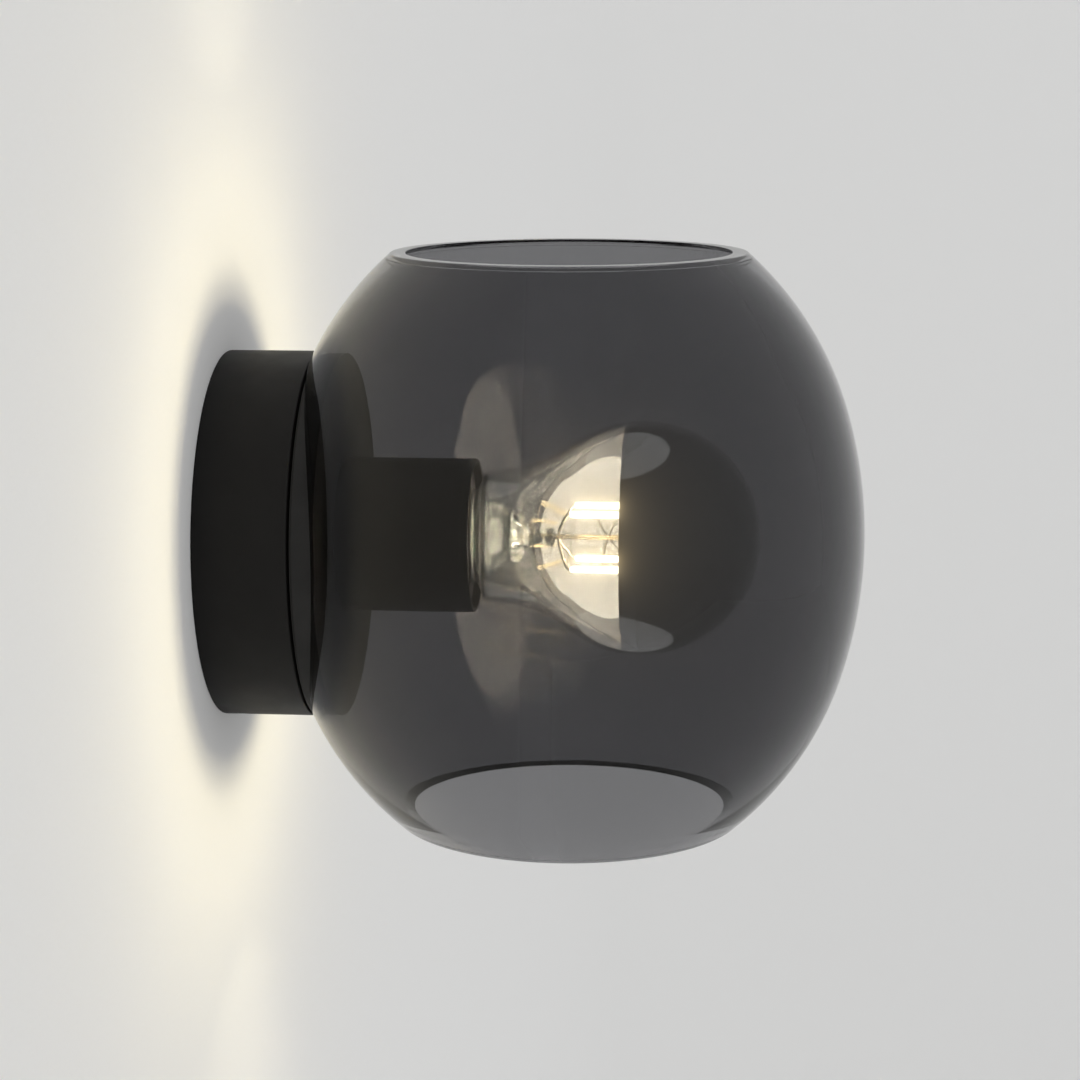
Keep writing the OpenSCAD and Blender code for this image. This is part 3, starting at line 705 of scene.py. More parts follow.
# Glass-fibre laminate under green lacquer: the weave shows as a slight mottle.
LAMINATE = Finish("green_laminate", "green_board", "#1E6A43", "#164F33", (0.3, 0.42), 0.5, 0.01)
# PVC insulation, extruded: smooth, with a low satin sheen. The earth's two colours mottle.
BROWN_PVC, BLUE_PVC, EARTH_PVC = (
    Finish(name, slot, tint, deep, (0.34, 0.46), grain_mm, relief_mm, grain, ior=1.53)
    for name, slot, tint, deep, grain_mm, relief_mm, grain in (
        ("brown_pvc", "brown_wire", "#5F3A22", "#553319", 0.5, 0.004, Grain.DRAWN),
        ("blue_pvc", "blue_wire", "#2E5FA8", "#27528F", 0.5, 0.004, Grain.DRAWN),
        ("green_yellow_pvc", "earth_wire", "#E3D23A", "#3F9A3B", 2.2, 0.002, Grain.MOULDED),
    )
)
# Matt wall paint, put on with a roller: an even pale grey-white, nine marks to 10 mm.
PALE_PAINT = StagePaint("pale_matt_paint", "", "#F8F8F7", "#F5F5F5", roller_mm=10 / 9)


# ---------------------------------------------------------------- recipes in Geometry Nodes


class Recipe:
    """A Geometry Nodes tree with named inputs, which grows pieces from a base mesh."""

    def __init__(self, name: str, sizes: dict[str, float]) -> None:
        """Starts the tree with its inputs.

        Args:
            name: The tree's name.
            sizes: The named inputs with their usual values.
        """
        self.tree = bpy.data.node_groups.new(name, "GeometryNodeTree")
        face = self.tree.interface
        face.new_socket("Base", in_out="INPUT", socket_type="NodeSocketGeometry")
        for label, value in sizes.items():
            made = face.new_socket(label, in_out="INPUT", socket_type="NodeSocketFloat")
            made.default_value = value
        face.new_socket("Finish", in_out="INPUT", socket_type="NodeSocketMaterial")
        face.new_socket("Piece", in_out="OUTPUT", socket_type="NodeSocketGeometry")
        self.given = self.add("NodeGroupInput").outputs
        self.place = self.add("GeometryNodeInputPosition")
        self.x, self.y, self.z = self.add("ShaderNodeSeparateXYZ", {0: self.place}).outputs

    def add(self, kind: str, values: dict[str | int, object] | None = None) -> Node:
        """Adds a node to this tree, as add_node does."""
        return add_node(self.tree, kind, values)

    def moved(self, geometry: Node, way: str, amount: Node | NodeSocket) -> Node:
        """Moves geometry along one axis.

        Args:
            geometry: What is moved.
            way: The axis, X, Y or Z.
            amount: How far.

        Returns:
            The moved geometry.
        """
        offset = self.add("ShaderNodeCombineXYZ", {way: amount})
        return self.add("GeometryNodeTransform", {"Geometry": geometry, "Translation": offset})

    def slimmed(self, geometry: Node, share: Node) -> Node:
        """Scales each point of a piece towards the upright axis.

        Args:
            geometry: The piece.
            share: The scale at each point.

        Returns:
            The slimmed piece.
        """
        scale = self.add("ShaderNodeCombineXYZ", {"X": share, "Y": share, "Z": 1.0})
        shape = self.add("ShaderNodeVectorMath", {"operation": "MULTIPLY", 0: self.place, 1: scale})
        return self.add("GeometryNodeSetPosition", {"Geometry": geometry, "Position": shape})

    def finish(self, geometry: Node) -> None:
        """Ends the tree.

        Args:
            geometry: What the tree made.
        """
        real = self.add("GeometryNodeRealizeInstances", {0: geometry})
        skin = {"Geometry": real, "Material": self.given["Finish"]}
        self.add("NodeGroupOutput", {0: self.add("GeometryNodeSetMaterial", skin)})

    def grow(self, name: str, base: Mesh, sizes: dict[str, float], material: Material) -> Object:
        """Runs the tree and keeps its result as a plain mesh.

        Args:
            name: The new piece's name.
            base: The mesh that the tree starts from.
            sizes: Values for its named inputs.
            material: What the piece is dressed in.

        Returns:
            The new piece, at the origin.
        """
        carrier = new_object(f"{name}_base", base)
        modifier = carrier.modifiers.new(self.tree.name, "NODES")
        modifier.node_group = self.tree
        values: dict[str, object] = {**sizes, "Finish": material}
        for item in self.tree.interface.items_tree:
            if item.in_out == "INPUT" and item.name in values:
                modifier[item.identifier] = values[item.name]
        graph = bpy.context.evaluated_depsgraph_get()
        grown = bpy.data.meshes.new_from_object(carrier.evaluated_get(graph))
        bpy.data.objects.remove(carrier)
        grown.name = name
        smooth(grown)
        return new_object(name, grown)


@dataclass(frozen=True)
class ScrewSize:
    """A screw's sizes in mm: its head, its shank and the recess in its head."""

    head_r: float
    head_h: float
    shank_r: float
    shank_l: float
    recess_w: float
    recess_h: float

    def inputs(self) -> dict[str, float]:
        """Gives the sizes by the names of a screw recipe's inputs.

        Returns:
            The sizes in metres.
        """
        labels = ("Head Radius", "Head Height", "Shank Radius", "Shank Length")
        labels += ("Recess Width", "Recess Depth")
        return {label: mm * MM for label, mm in zip(labels, astuple(self), strict=True)}


def thread_recipe() -> Recipe:
    """Makes the recipe that rolls a screw thread into a turned shell.

    Returns:
        A recipe that moves points in and out along a right-hand helix, by their share in
        the attribute thread.
    """
    recipe = Recipe("rolled_thread", {"Depth": 1.1 * MM, "Pitch": THREAD_PITCH * MM, "Phase": 0.0})
    add, given = recipe.add, recipe.given
    turn = add(MATH, {"operation": "ARCTAN2", 0: recipe.z, 1: recipe.x})
    climb = add(MATH, {"operation": "MULTIPLY", 0: recipe.y, 1: -2 * math.pi})
    travel = add(MATH, {"operation": "DIVIDE", 0: climb, 1: given["Pitch"]})
    ahead = add(MATH, {"operation": "SUBTRACT", 0: travel, 1: turn})
    angle = add(MATH, {"operation": "ADD", 0: ahead, 1: given["Phase"]})
    wave = add(MATH, {"operation": "COSINE", 0: angle})
    half = add(MATH, {"operation": "MULTIPLY", 0: given["Depth"], 1: 0.5})
    height = add(MATH, {"operation": "MULTIPLY", 0: wave, 1: half})
    marks = add("GeometryNodeInputNamedAttribute", {"data_type": "FLOAT", "Name": "thread"})
    push = add(MATH, {"operation": "MULTIPLY", 0: height, 1: marks.outputs["Attribute"]})
    across = {"operation": "MULTIPLY", 0: recipe.place, 1: (1.0, 0.0, 1.0)}
    flat = add("ShaderNodeVectorMath", across)
    away = add("ShaderNodeVectorMath", {"operation": "NORMALIZE", 0: flat})
    offset = add("ShaderNodeVectorMath", {"operation": "SCALE", 0: away, "Scale": push})
    recipe.finish(add("GeometryNodeSetPosition", {"Geometry": given["Base"], "Offset": offset}))
    return recipe


def wire_recipe() -> Recipe:
    """Makes the recipe that runs a round wire along each line of its base.

    Returns:
        The recipe, with the wire's radius as its input.
    """
    recipe = Recipe("round_wire", {"Radius": 0.35 * MM})
    line = recipe.add("GeometryNodeMeshToCurve", {0: recipe.given["Base"]})
    round_bar = {"mode": "RADIUS", "Resolution": 16, "Radius": recipe.given["Radius"]}
    ring = recipe.add("GeometryNodeCurvePrimitiveCircle", round_bar)
    sweep = {"Fill Caps": True, "Curve": line, "Profile Curve": ring}
    recipe.finish(recipe.add("GeometryNodeCurveToMesh", sweep))
    return recipe


def rod_recipe() -> Recipe:
    """Makes the recipe of a coated rod with rounded ends on each point of its base.

    Returns:
        The recipe. A rod points out from the wall from its base point.
    """
    recipe = Recipe("coated_rod", {"Radius": 0.9 * MM, "Length": 30 * MM})
    add, given = recipe.add, recipe.given
    steps = {"Vertices": 20, "Side Segments": 40, "Fill Segments": 3}
    size = {"Radius": given["Radius"], "Depth": given["Length"]}
    bar = add("GeometryNodeMeshCylinder", steps | size)
    # The ends draw in steeply, by 0.45 of the radius, over the last few steps.
    away = add(MATH, {"operation": "ABSOLUTE", 0: recipe.z})
    half = add(MATH, {"operation": "MULTIPLY", 0: given["Length"], 1: 0.5})
    share = add(MATH, {"operation": "DIVIDE", 0: away, 1: half})
    steep = add(MATH, {"operation": "POWER", 0: share, 1: 60.0})
    taper = add(MATH, {"operation": "MULTIPLY_ADD", 0: steep, 1: -0.45, 2: 1.0})
    lay = {"Rotation": (math.pi / 2, 0.0, 0.0), "Geometry": recipe.slimmed(bar, taper)}
    back = add(MATH, {"operation": "MULTIPLY", 0: given["Length"], 1: -0.5})
    rod = recipe.moved(add("GeometryNodeTransform", lay), "Y", back)
    recipe.finish(add("GeometryNodeInstanceOnPoints", {"Points": given["Base"], "Instance": rod}))
    return recipe


def recess_tools(recipe: Recipe, drive: Drive) -> list[Node]:
    """Adds the shapes that cut the recess into a screw's head.

    Args:
        recipe: The screw's recipe.
        drive: The recess.

    Returns:
        The shapes, centred on the origin.
    """
    add, given = recipe.add, recipe.given
    depth = add(MATH, {"operation": "MULTIPLY", 0: given["Recess Depth"], 1: 2.0})
    if drive is Drive.HEX:
        steps = {"Vertices": 6, "Side Segments": 1, "Fill Segments": 1}
        size = {"Radius": given["Recess Width"], "Depth": depth}
        return [add("GeometryNodeMeshCylinder", steps | size)]
    slot = drive is Drive.SLOT
    run = add(MATH, {"operation": "MULTIPLY", 0: given["Head Radius"], 1: 3.0 if slot else 1.2})
    tools = []
    for along, across in (("X", "Y"),) if slot else (("X", "Y"), ("Y", "X")):
        size = add("ShaderNodeCombineXYZ", {along: run, across: given["Recess Width"], "Z": depth})
        tools.append(add("GeometryNodeMeshCube", {"Size": size}))
    return tools


def screw_recipe(drive: Drive) -> Recipe:
    """Makes the recipe of a screw on each point of its base.

    Args:
        drive: The recess in its head.

    Returns:
        The recipe. Each head faces along the attribute way, and its underside is at the
        point.
    """
    usual = ScrewSize(head_r=2.5, head_h=1.6, shank_r=1.4, shank_l=8.0, recess_w=0.7, recess_h=0.8)
    sizes = usual.inputs() | {"Thread Pitch": 0.7 * MM}
    recipe = Recipe(f"screw_{drive.name.lower()}", sizes)
    add, given = recipe.add, recipe.given
    steps = {"Vertices": 40, "Side Segments": 8, "Fill Segments": 4}
    size = {"Radius": given["Head Radius"], "Depth": given["Head Height"]}
    disc = add("GeometryNodeMeshCylinder", steps | size)
    # The head's top edge is rolled in by an eighth of its radius.
    level = add(MATH, {"operation": "DIVIDE", 0: recipe.z, 1: given["Head Height"]})
    share = add(MATH, {"operation": "ADD", 0: level, 1: 0.5})
    steep = add(MATH, {"operation": "POWER", 0: share, 1: 5.0})
    roll = add(MATH, {"operation": "MULTIPLY_ADD", 0: steep, 1: -0.12, 2: 1.0})
    half = add(MATH, {"operation": "MULTIPLY", 0: given["Head Height"], 1: 0.5})
    head = recipe.moved(recipe.slimmed(disc, roll), "Z", half)
    for tool in recess_tools(recipe, drive):
        bit = recipe.moved(tool, "Z", given["Head Height"])
        how = {"operation": "DIFFERENCE", "solver": "EXACT"}
        head = add("GeometryNodeMeshBoolean", how | {0: head, 1: bit})
    steps = {"Vertices": 24, "Side Segments": 48, "Fill Segments": 2}
    size = {"Radius": given["Shank Radius"], "Depth": given["Shank Length"]}
    bar = add("GeometryNodeMeshCylinder", steps | size)
    # The thread is a wave of 0.07 of the radius, which climbs by the pitch each turn.
    climb = add(MATH, {"operation": "MULTIPLY", 0: recipe.z, 1: 2 * math.pi})
    turns = add(MATH, {"operation": "DIVIDE", 0: climb, 1: given["Thread Pitch"]})
    turn = add(MATH, {"operation": "ARCTAN2", 0: recipe.y, 1: recipe.x})
    ahead = add(MATH, {"operation": "SUBTRACT", 0: turns, 1: turn})
    helix = add(MATH, {"operation": "SINE", 0: ahead})
    ridge = add(MATH, {"operation": "MULTIPLY_ADD", 0: helix, 1: 0.07, 2: 0.93})
    drop = add(MATH, {"operation": "MULTIPLY", 0: given["Shank Length"], 1: -0.5})
    shank = recipe.moved(recipe.slimmed(bar, ridge), "Z", drop)
    whole = add("GeometryNodeJoinGeometry", {0: shank})
    recipe.tree.links.new(head.outputs[0], whole.inputs[0])
    way = add("GeometryNodeInputNamedAttribute", {"data_type": "FLOAT_VECTOR", "Name": "way"})
    facing = {"axis": "Z", "Vector": way.outputs["Attribute"]}
    aim = add("FunctionNodeAlignRotationToVector", facing)
    spread = {"Points": given["Base"], "Instance": whole, "Rotation": aim}
    recipe.finish(add("GeometryNodeInstanceOnPoints", spread))
    return recipe


# ---------------------------------------------------------------- the workshop


class Workshop:
    """What each sub-assembly is made with: the CAD nodes, the finishes and the recipes."""

    def __init__(self, nodes: dict[str, Object]) -> None:
        """Makes the recipes. Materials are made when a piece first needs them.

        Args:
            nodes: The CAD nodes by name.
        """
        self.nodes = nodes
        self.screws = {drive: screw_recipe(drive) for drive in Drive}
        self.wire, self.rod, self.thread = wire_recipe(), rod_recipe(), thread_recipe()
        self._made: dict[str, Material] = {}

    def material(self, finish: Surface) -> Material:
        """Gives the material of a finish.

        Args:
            finish: The finish.

        Returns:
            Its material, made at the first call.
        """
        if finish.name not in self._made:
            self._made[finish.name] = finish.build()
        return self._made[finish.name]

    def dress(self, finishes: dict[str, Surface]) -> None:
        """Gives carried-over CAD nodes their finishes.

        Args:
            finishes: The finish of each node, by the node's name.
        """
        for name, finish in finishes.items():
            for slot in self.nodes[name].material_slots:
                slot.material = self.material(finish)
            log.info("%s dressed in %s", name, finish.name)

    def mount(self, piece: Object, body: Body, finish: Surface, *replaced: str) -> None:
        """Dresses a new piece, lets it ride on its body and reports it.

        Args:
            piece: The piece, in place.
            body: The body that it moves with.
            finish: Its finish, unless it is dressed already.
            replaced: The CAD nodes that it stands for.
        """
        if not piece.data.materials:
            piece.data.materials.append(self.material(finish))
        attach(piece, body.value)
        if replaced:
            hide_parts(*replaced)
        log.info("%s: %d faces, on %s", piece.name, len(piece.data.polygons), body.value)


@dataclass(frozen=True)
class ScrewSet:
    """Screws of one size: where their heads sit and which way they face.

    seats are (across, up, out) points under the heads in mm, and ways the directions the
    heads face in the frame, one for each seat or one for all.
    """

    name: str
    node: str
    drive: Drive
    seats: Sequence[Point3]
    ways: Sequence[Point3 | Vector]
    size: ScrewSize
    finish: Finish = ZINC

    def build(self, shop: Workshop) -> None:
        """Grows the screws as one piece that stands for their CAD node.

        Args:
            shop: The finishes and recipes.
        """
        base = path_mesh(self.name, [[out_point(*seat)] for seat in self.seats])
        ways = base.attributes.new("way", "FLOAT_VECTOR", "POINT")
        for i in range(len(self.seats)):
            ways.data[i].vector = self.ways[i % len(self.ways)]
        skin = shop.material(self.finish)
        piece = shop.screws[self.drive].grow(self.name, base, self.size.inputs(), skin)
        shop.mount(piece, Body.FIXTURE, self.finish, self.node)


# ---------------------------------------------------------------- sub-assemblies


@dataclass
class WallPlate:
    """The bracket on the wall with its terminal block, earth tag and leads."""

    pole_pitch: float = 9.4
    block_low: float = 26.5
    block_mid: float = 33.25
    block_front_d: float = 13.2
    pole_axis_d: float = 7.2
    clamp_pitch: float = 6.6
    clamp_seat: float = 3.0
    earth_at: Point2 = (20.0, -26.0)
    earth_head_d: float = 2.0
    lug_end_up: float = -15.0
    lug_axis_d: float = 3.1
    lead_r: float = 1.1
    lead_gap: float = 0.1
    run_share: float = 0.62
    dive_share: float = 0.7

    def build(self, shop: Workshop) -> None:
        """Dresses the carried-over nodes and makes the leads and screws.

        Args:
            shop: The nodes, finishes and recipes.
        """
        shop.dress({"wall_bracket": ZINC, "terminal_block": IVORY_NYLON})
        shop.dress({"pole_sleeves": BRASS, "earth_lug": BRASS})
        clamp_d = self.pole_axis_d + self.clamp_seat
        clamps = [
            (pole * self.pole_pitch, self.block_mid + end * self.clamp_pitch / 2, clamp_d)
            for pole in (-1, 0, 1)
            for end in (-1, 1)
        ]
        half, mid, front = self.pole_pitch / 2, self.block_mid, self.block_front_d
        sides = [(side * half, mid, front) for side in (-1, 1)]
        earth = [(*self.earth_at, self.earth_head_d)]
        small = ScrewSize(1.6, 2.2, shank_r=1.2, shank_l=0.3, recess_w=0.7, recess_h=0.8)
        long = ScrewSize(2.5, 1.6, shank_r=1.4, shank_l=13.1, recess_w=0.7, recess_h=0.8)
        wide = ScrewSize(3.5, 2.2, shank_r=1.9, shank_l=1.9, recess_w=0.7, recess_h=0.9)
        for name, node, drive, seats, size in (
            ("block_clamps", "clamp_screws", Drive.SLOT, clamps, small),
            ("block_fixings", "block_screws", Drive.SLOT, sides, long),
            ("earth_fixing", "earth_screw", Drive.CROSS, earth, wide),
        ):
            ScrewSet(name, node, drive, seats, [TO_ROOM], size).build(shop)
        term_d = Holder.term_back_d - self.lead_gap
        live, neutral = ((side * Holder.term_x, Holder.term_row, term_d) for side in (-1, 1))
        tag = (self.earth_at[0], self.lug_end_up + self.lead_gap, self.lug_axis_d)
        for name, pole, end, dives, finish in (
            ("live_lead", -1, live, True, BROWN_PVC),
            ("neutral_lead", 0, neutral, True, BLUE_PVC),
            ("earth_lead", 1, tag, False, EARTH_PVC),
        ):
            base = path_mesh(name, [self._route(pole, Vector(end), dives)])
            skin = shop.material(finish)
            run = shop.wire.grow(f"{name}_run", base, {"Radius": self.lead_r * MM}, skin)
            shop.mount(run, Body.FIXTURE, finish, name)

    def _route(self, pole: int, end: Vector, dives: bool, steps: int = 40) -> list[Vector]:
        """Gives points along the cubic curve that a lead hangs in.

        Args:
            pole: The pole it starts from: -1, 0 or 1.
            end: Where it ends, as (across, up, out) in mm.
            dives: Whether it comes in from the wall's side rather than from above.
            steps: How many pieces the curve has.

        Returns:
            The points, in the frame.
        """
        low = self.block_low - self.lead_gap
        start = Vector((pole * self.pole_pitch, low, self.pole_axis_d))
        drop = Vector((0.0, (end.y - start.y) * self.run_share, 0.0))
        dive = Vector((0.0, 0.0, (end.z - start.z) * self.dive_share))
        bends = (start, start + drop, end - (dive if dives else drop), end)
        points = []
        for i in range(steps + 1):
            t = i / steps
            shares = ((1 - t) ** 3, 3 * (1 - t) ** 2 * t, 3 * (1 - t) * t * t, t**3)
            parts = (s * b for s, b in zip(shares, bends, strict=True))
            points.append(out_point(*sum(parts, Vector((0.0, 0.0, 0.0)))))
        return points


@dataclass
class Canopy:
    """The black cup on the wall, its spacer and the two grub screws that lock it."""

    radius: float = 50.0
    wall: float = 2.5
    depth: float = 25.0
    front: float = 2.5
    edge: float = 0.5
    hole_r: float = 19.45
    sides: int = 240
    grub_d: float = 4.5
    grub_angle: float = 15.0
    grub_seat: float = 47.9
    grub_hole_r: float = 2.05
    grub_hole_l: float = 8.0

    def build(self, shop: Workshop) -> None:
        """Makes the cup and its grub screws, and dresses the spacer.

        Args:
            shop: The nodes, finishes and recipes.
        """
        inner, inside_d = self.radius - self.wall, self.depth - self.front
        outline = [
            (inner, 0.0),
            (self.radius, 0.0),
            (self.radius, self.depth),
            (self.hole_r, self.depth),
            (self.hole_r, inside_d),
            (inner, inside_d),
        ]
        mesh = turned_mesh("canopy_shell", eased(outline, self.edge), self.sides)
        cup = new_object("canopy_shell", mesh)
        angles = [math.radians(side * self.grub_angle - 90) for side in (-1, 1)]
        ways = [Vector((math.cos(a), 0.0, math.sin(a))) for a in angles]
        for way in ways:
            centre = way * self.radius * MM + out_point(0.0, 0.0, self.grub_d)
            drill(cup, centre, way, self.grub_hole_r, self.grub_hole_l)
        shop.mount(cup, Body.FIXTURE, POWDER_BLACK, "canopy_cup")
        shop.dress({"gap_spacer": BLACK_NYLON})
        seats = [(w.x * self.grub_seat, w.z * self.grub_seat, self.grub_d) for w in ways]
        size = ScrewSize(1.95, 1.7, shank_r=1.5, shank_l=0.6, recess_w=1.15, recess_h=1.2)
        name, node = "canopy_grubs", "canopy_grub_screws"
        ScrewSet(name, node, Drive.HEX, seats, ways, size, BLACK_OXIDE).build(shop)


@dataclass
class DiscPlate:
    """The black disc that holds the glass: its sleeve, clips and screws."""

    joint_ring: float = 36.0
    joint_head_d: float = 22.5
    clip_ring: float = 41.0
    clip_angle: float = 60.0
    clip_low_d: float = 28.6

    def build(self, shop: Workshop) -> None:
        """Dresses the disc, sleeve and clips and makes the screws.

        Args:
            shop: The nodes, finishes and recipes.
        """
        shop.dress({"front_disc": POWDER_BLACK, "glass_sleeve": SILICONE})
        shop.dress({"glass_clips": BLACK_OXIDE})
        turn = self.clip_angle
        joints = self._seats(self.joint_ring, (90.0, 210.0, 330.0), self.joint_head_d)
        clips = self._seats(self.clip_ring, (turn, -turn, 180 + turn, 180 - turn), self.clip_low_d)
        large = ScrewSize(3.6, 2.4, shank_r=1.9, shank_l=7.7, recess_w=0.7, recess_h=0.9)
        small = ScrewSize(2.7, 1.6, shank_r=1.4, shank_l=2.3, recess_w=0.7, recess_h=0.8)
        for name, node, seats, size in (
            ("disc_fixings", "disc_screws", joints, large),
            ("clip_fixings", "clip_screws", clips, small),
        ):
            ScrewSet(name, node, Drive.CROSS, seats, [TO_WALL], size).build(shop)

    def _seats(self, ring: float, angles: Sequence[float], d: float) -> list[Point3]:
        """Gives points on a ring at some angles in degrees, as (across, up, out)."""
        turns = [math.radians(a) for a in angles]
        return [(ring * math.cos(a), ring * math.sin(a), d) for a in turns]


@dataclass
class GlassGlobe:
    """The smoked globe: an arc for its belly and one for each shoulder, up to ground rims."""

    radius: float = 80.0
    height: float = 155.0
    belly_r: float = 123.0
    belly_h: float = 71.0
    wall: float = 1.0
    mouth_r: float = 43.5
    rim_w: float = 4.2
    rim_ease: float = 0.35
    axis_d: float = 93.509
    seat_r: float = 50.3
    seat_d: float = 20.0
    seat_l: float = 60.0
    sides: int = 256

    def build(self, shop: Workshop) -> None:
        """Makes the globe with its round seat for the disc.

        Args:
            shop: The finishes.
        """
        top = self.height / 2
        outer = self._half(0.0, (self.mouth_r + self.rim_w, top))
        inner = self._half(self.wall, (self.mouth_r, top))
        rim = eased([outer[-2], outer[-1], inner[-1], inner[-2]], self.rim_ease)[1:-1]
        upper = outer[:-1] + rim + inner[-2::-1]
        lower = [(r, -h) for r, h in reversed(upper)]
        mesh = turned_mesh("smoked_globe", upper[1:] + lower[1:], self.sides, Axis.UP, self.axis_d)
        globe = new_object("smoked_globe", mesh)
        drill(globe, out_point(0.0, 0.0, self.seat_d), Vector(TO_WALL), self.seat_r, self.seat_l)
        shop.mount(globe, Body.FIXTURE, SMOKED_GLASS, "glass_shade")

    def _half(self, inset: float, rim: Point2, steps: int = 26) -> Outline:
        """Gives one wall's outline from the belly up to the rim.

        Args:
            inset: How far inside the outer belly this wall lies, in mm.
            rim: The wall's end, as (radius, height).
            steps: Pieces of each of its two arcs.

        Returns:
            The points, from the middle up.
        """
        r = self.belly_r - inset
        centre = self.radius - self.belly_r
        angle = math.asin(self.belly_h / 2 / self.belly_r)
        normal = Vector((math.cos(angle), math.sin(angle)))
        meet = Vector((centre, 0.0)) + r * normal
        chord = Vector(rim) - meet
        shoulder = -chord.length_squared / (2 * chord.dot(normal))
        middle = meet - shoulder * normal
        end = math.atan2(rim[1] - middle.y, rim[0] - middle.x)
        belly = arc((centre, 0.0), r, 0.0, angle, steps)
        return belly + arc((middle.x, middle.y), shoulder, angle, end, steps)[1:]


@dataclass
class Holder:
    """The lampholder in its black sleeve, with the screw shell and contacts."""

    sleeve_r: float = 21.0
    sleeve_in_r: float = 19.8
    sleeve_ease: float = 0.3
    front_d: float = 68.2
    flange_r: float = 24.0
    flange_d: Point2 = (28.55, 30.05)
    sides: int = 180
    shell_in_r: float = 13.5
    shell_r: float = 14.05
    shell_lip_r: float = 10.0
    shell_d: Point2 = (38.1, 64.5)
    shell_t: float = 0.55
    shell_edge: float = 0.1
    shell_sides: int = 128
    thread_d: Point2 = (43.0, 61.5)
    thread_depth: float = 0.7
    thread_fade: float = 2.0
    term_x: float = 7.0
    term_row: float = 2.6
    term_back_d: float = 28.1

    def build(self, shop: Workshop) -> None:
        """Makes the sleeve, the threaded shell and the screws, and dresses the rest.

        Args:
            shop: The nodes, finishes and recipes.
        """
        shop.dress(
            {
                "lampholder_body": BLACK_NYLON,
                "fixing_ring": BLACK_NYLON,
                "centre_contact": BRASS,
                "holder_terminals": BRASS,
            }
        )
        back, front = self.flange_d
        outline = [
            (self.sleeve_in_r, back),
            (self.flange_r, back),
            (self.flange_r, front),
            (self.sleeve_r, front),
            (self.sleeve_r, self.front_d),
            (self.sleeve_in_r, self.front_d),
        ]
        mesh = turned_mesh("holder_tube", eased(outline, self.sleeve_ease), self.sides)
        tube = new_object("holder_tube", mesh)
        shop.mount(tube, Body.FIXTURE, POWDER_BLACK, "holder_sleeve")
        self._shell(shop)
        seats = [(side * self.term_x, -self.term_row, self.term_back_d) for side in (-1, 1)]
        size = ScrewSize(2.2, 1.4, shank_r=1.4, shank_l=4.1, recess_w=0.7, recess_h=0.8)
        ScrewSet("holder_clamps", "holder_screws", Drive.SLOT, seats, [TO_WALL], size).build(shop)

    def _shell(self, shop: Workshop, steps: int = 140) -> None:
        """Makes the screw shell with a thread that lies between the cap's ridges.

        Args:
            shop: The finishes and recipes.
            steps: How many rings each of its walls has.
        """
        low, high = self.shell_d
        top, floor = high - self.shell_edge, low + self.shell_t
        base = low + self.shell_edge
        wall_in = [(self.shell_in_r, top + (floor - top) * i / steps) for i in range(steps + 1)]
        wall_out = [(self.shell_r, base + (top - base) * i / steps) for i in range(steps + 1)]
        lip = self.shell_lip_r
        outline = [(lip, low), *wall_out, *wall_in, (lip, floor)]
        mesh = turned_mesh("screw_shell", outline, self.shell_sides)
        # Only the inner wall takes the thread, and only inwards, so it stays off the barrel.
        most_r = self.shell_in_r + self.shell_edge
        mark_thread(mesh, self.thread_d, self.thread_fade, most_r, self.thread_depth / 2)
        sizes = {"Depth": self.thread_depth * MM, "Pitch": THREAD_PITCH * MM, "Phase": math.pi}
        shell = shop.thread.grow("threaded_shell", mesh, sizes, shop.material(NICKEL))
        shop.mount(shell, Body.FIXTURE, NICKEL, "screw_shell")


@dataclass
class LampCap:
    """The lamp's screw cap, with its solder tip, glass insulator and driver."""

    ridge_r: float = 13.2
    depth: float = 1.1
    thread_d: Point2 = (48.08, 62.6)
    marked_d: Point2 = (47.88, 62.7)
    fade: float = 1.6
    end_r: float = 10.4
    end_d: float = 47.43
    skirt_r: float = 13.0
    skirt_d: Point2 = (63.2, 67.6)
    sheet: float = 0.4
    sides: int = 128

    def build(self, shop: Workshop, steps: int = 100) -> None:
        """Makes the cap with its thread, and dresses what it holds.

        Args:
            shop: The nodes, finishes and recipes.
            steps: How many rings the thread's length has.
        """
        shop.dress(
            {
                "cap_contact": SOLDER,
                "cap_insulator": CAP_GLASS,
                "driver_board": LAMINATE,
                "driver_parts": BLACK_NYLON,
            }
        )
        low, high = self.thread_d
        middle = self.ridge_r - self.depth / 2
        outer = [(self.end_r, self.end_d)]
        outer += [(middle, low + (high - low) * i / steps) for i in range(steps + 1)]
        outer += [(self.skirt_r, d) for d in self.skirt_d]
        inner = [(r - self.sheet, d) for r, d in outer]
        lip = self.end_r - 2 * self.sheet
        inner[0] = (lip, self.end_d + self.sheet)
        outline = [(lip, self.end_d), *outer, *reversed(inner)]
        mesh = turned_mesh("cap_thread", outline, self.sides)
        mark_thread(mesh, self.marked_d, self.fade, self.ridge_r)
        sizes = {"Depth": self.depth * MM, "Pitch": THREAD_PITCH * MM, "Phase": 0.0}
        cap = shop.thread.grow("threaded_cap", mesh, sizes, shop.material(NICKEL))
        shop.mount(cap, Body.LAMP, NICKEL, "lamp_cap")


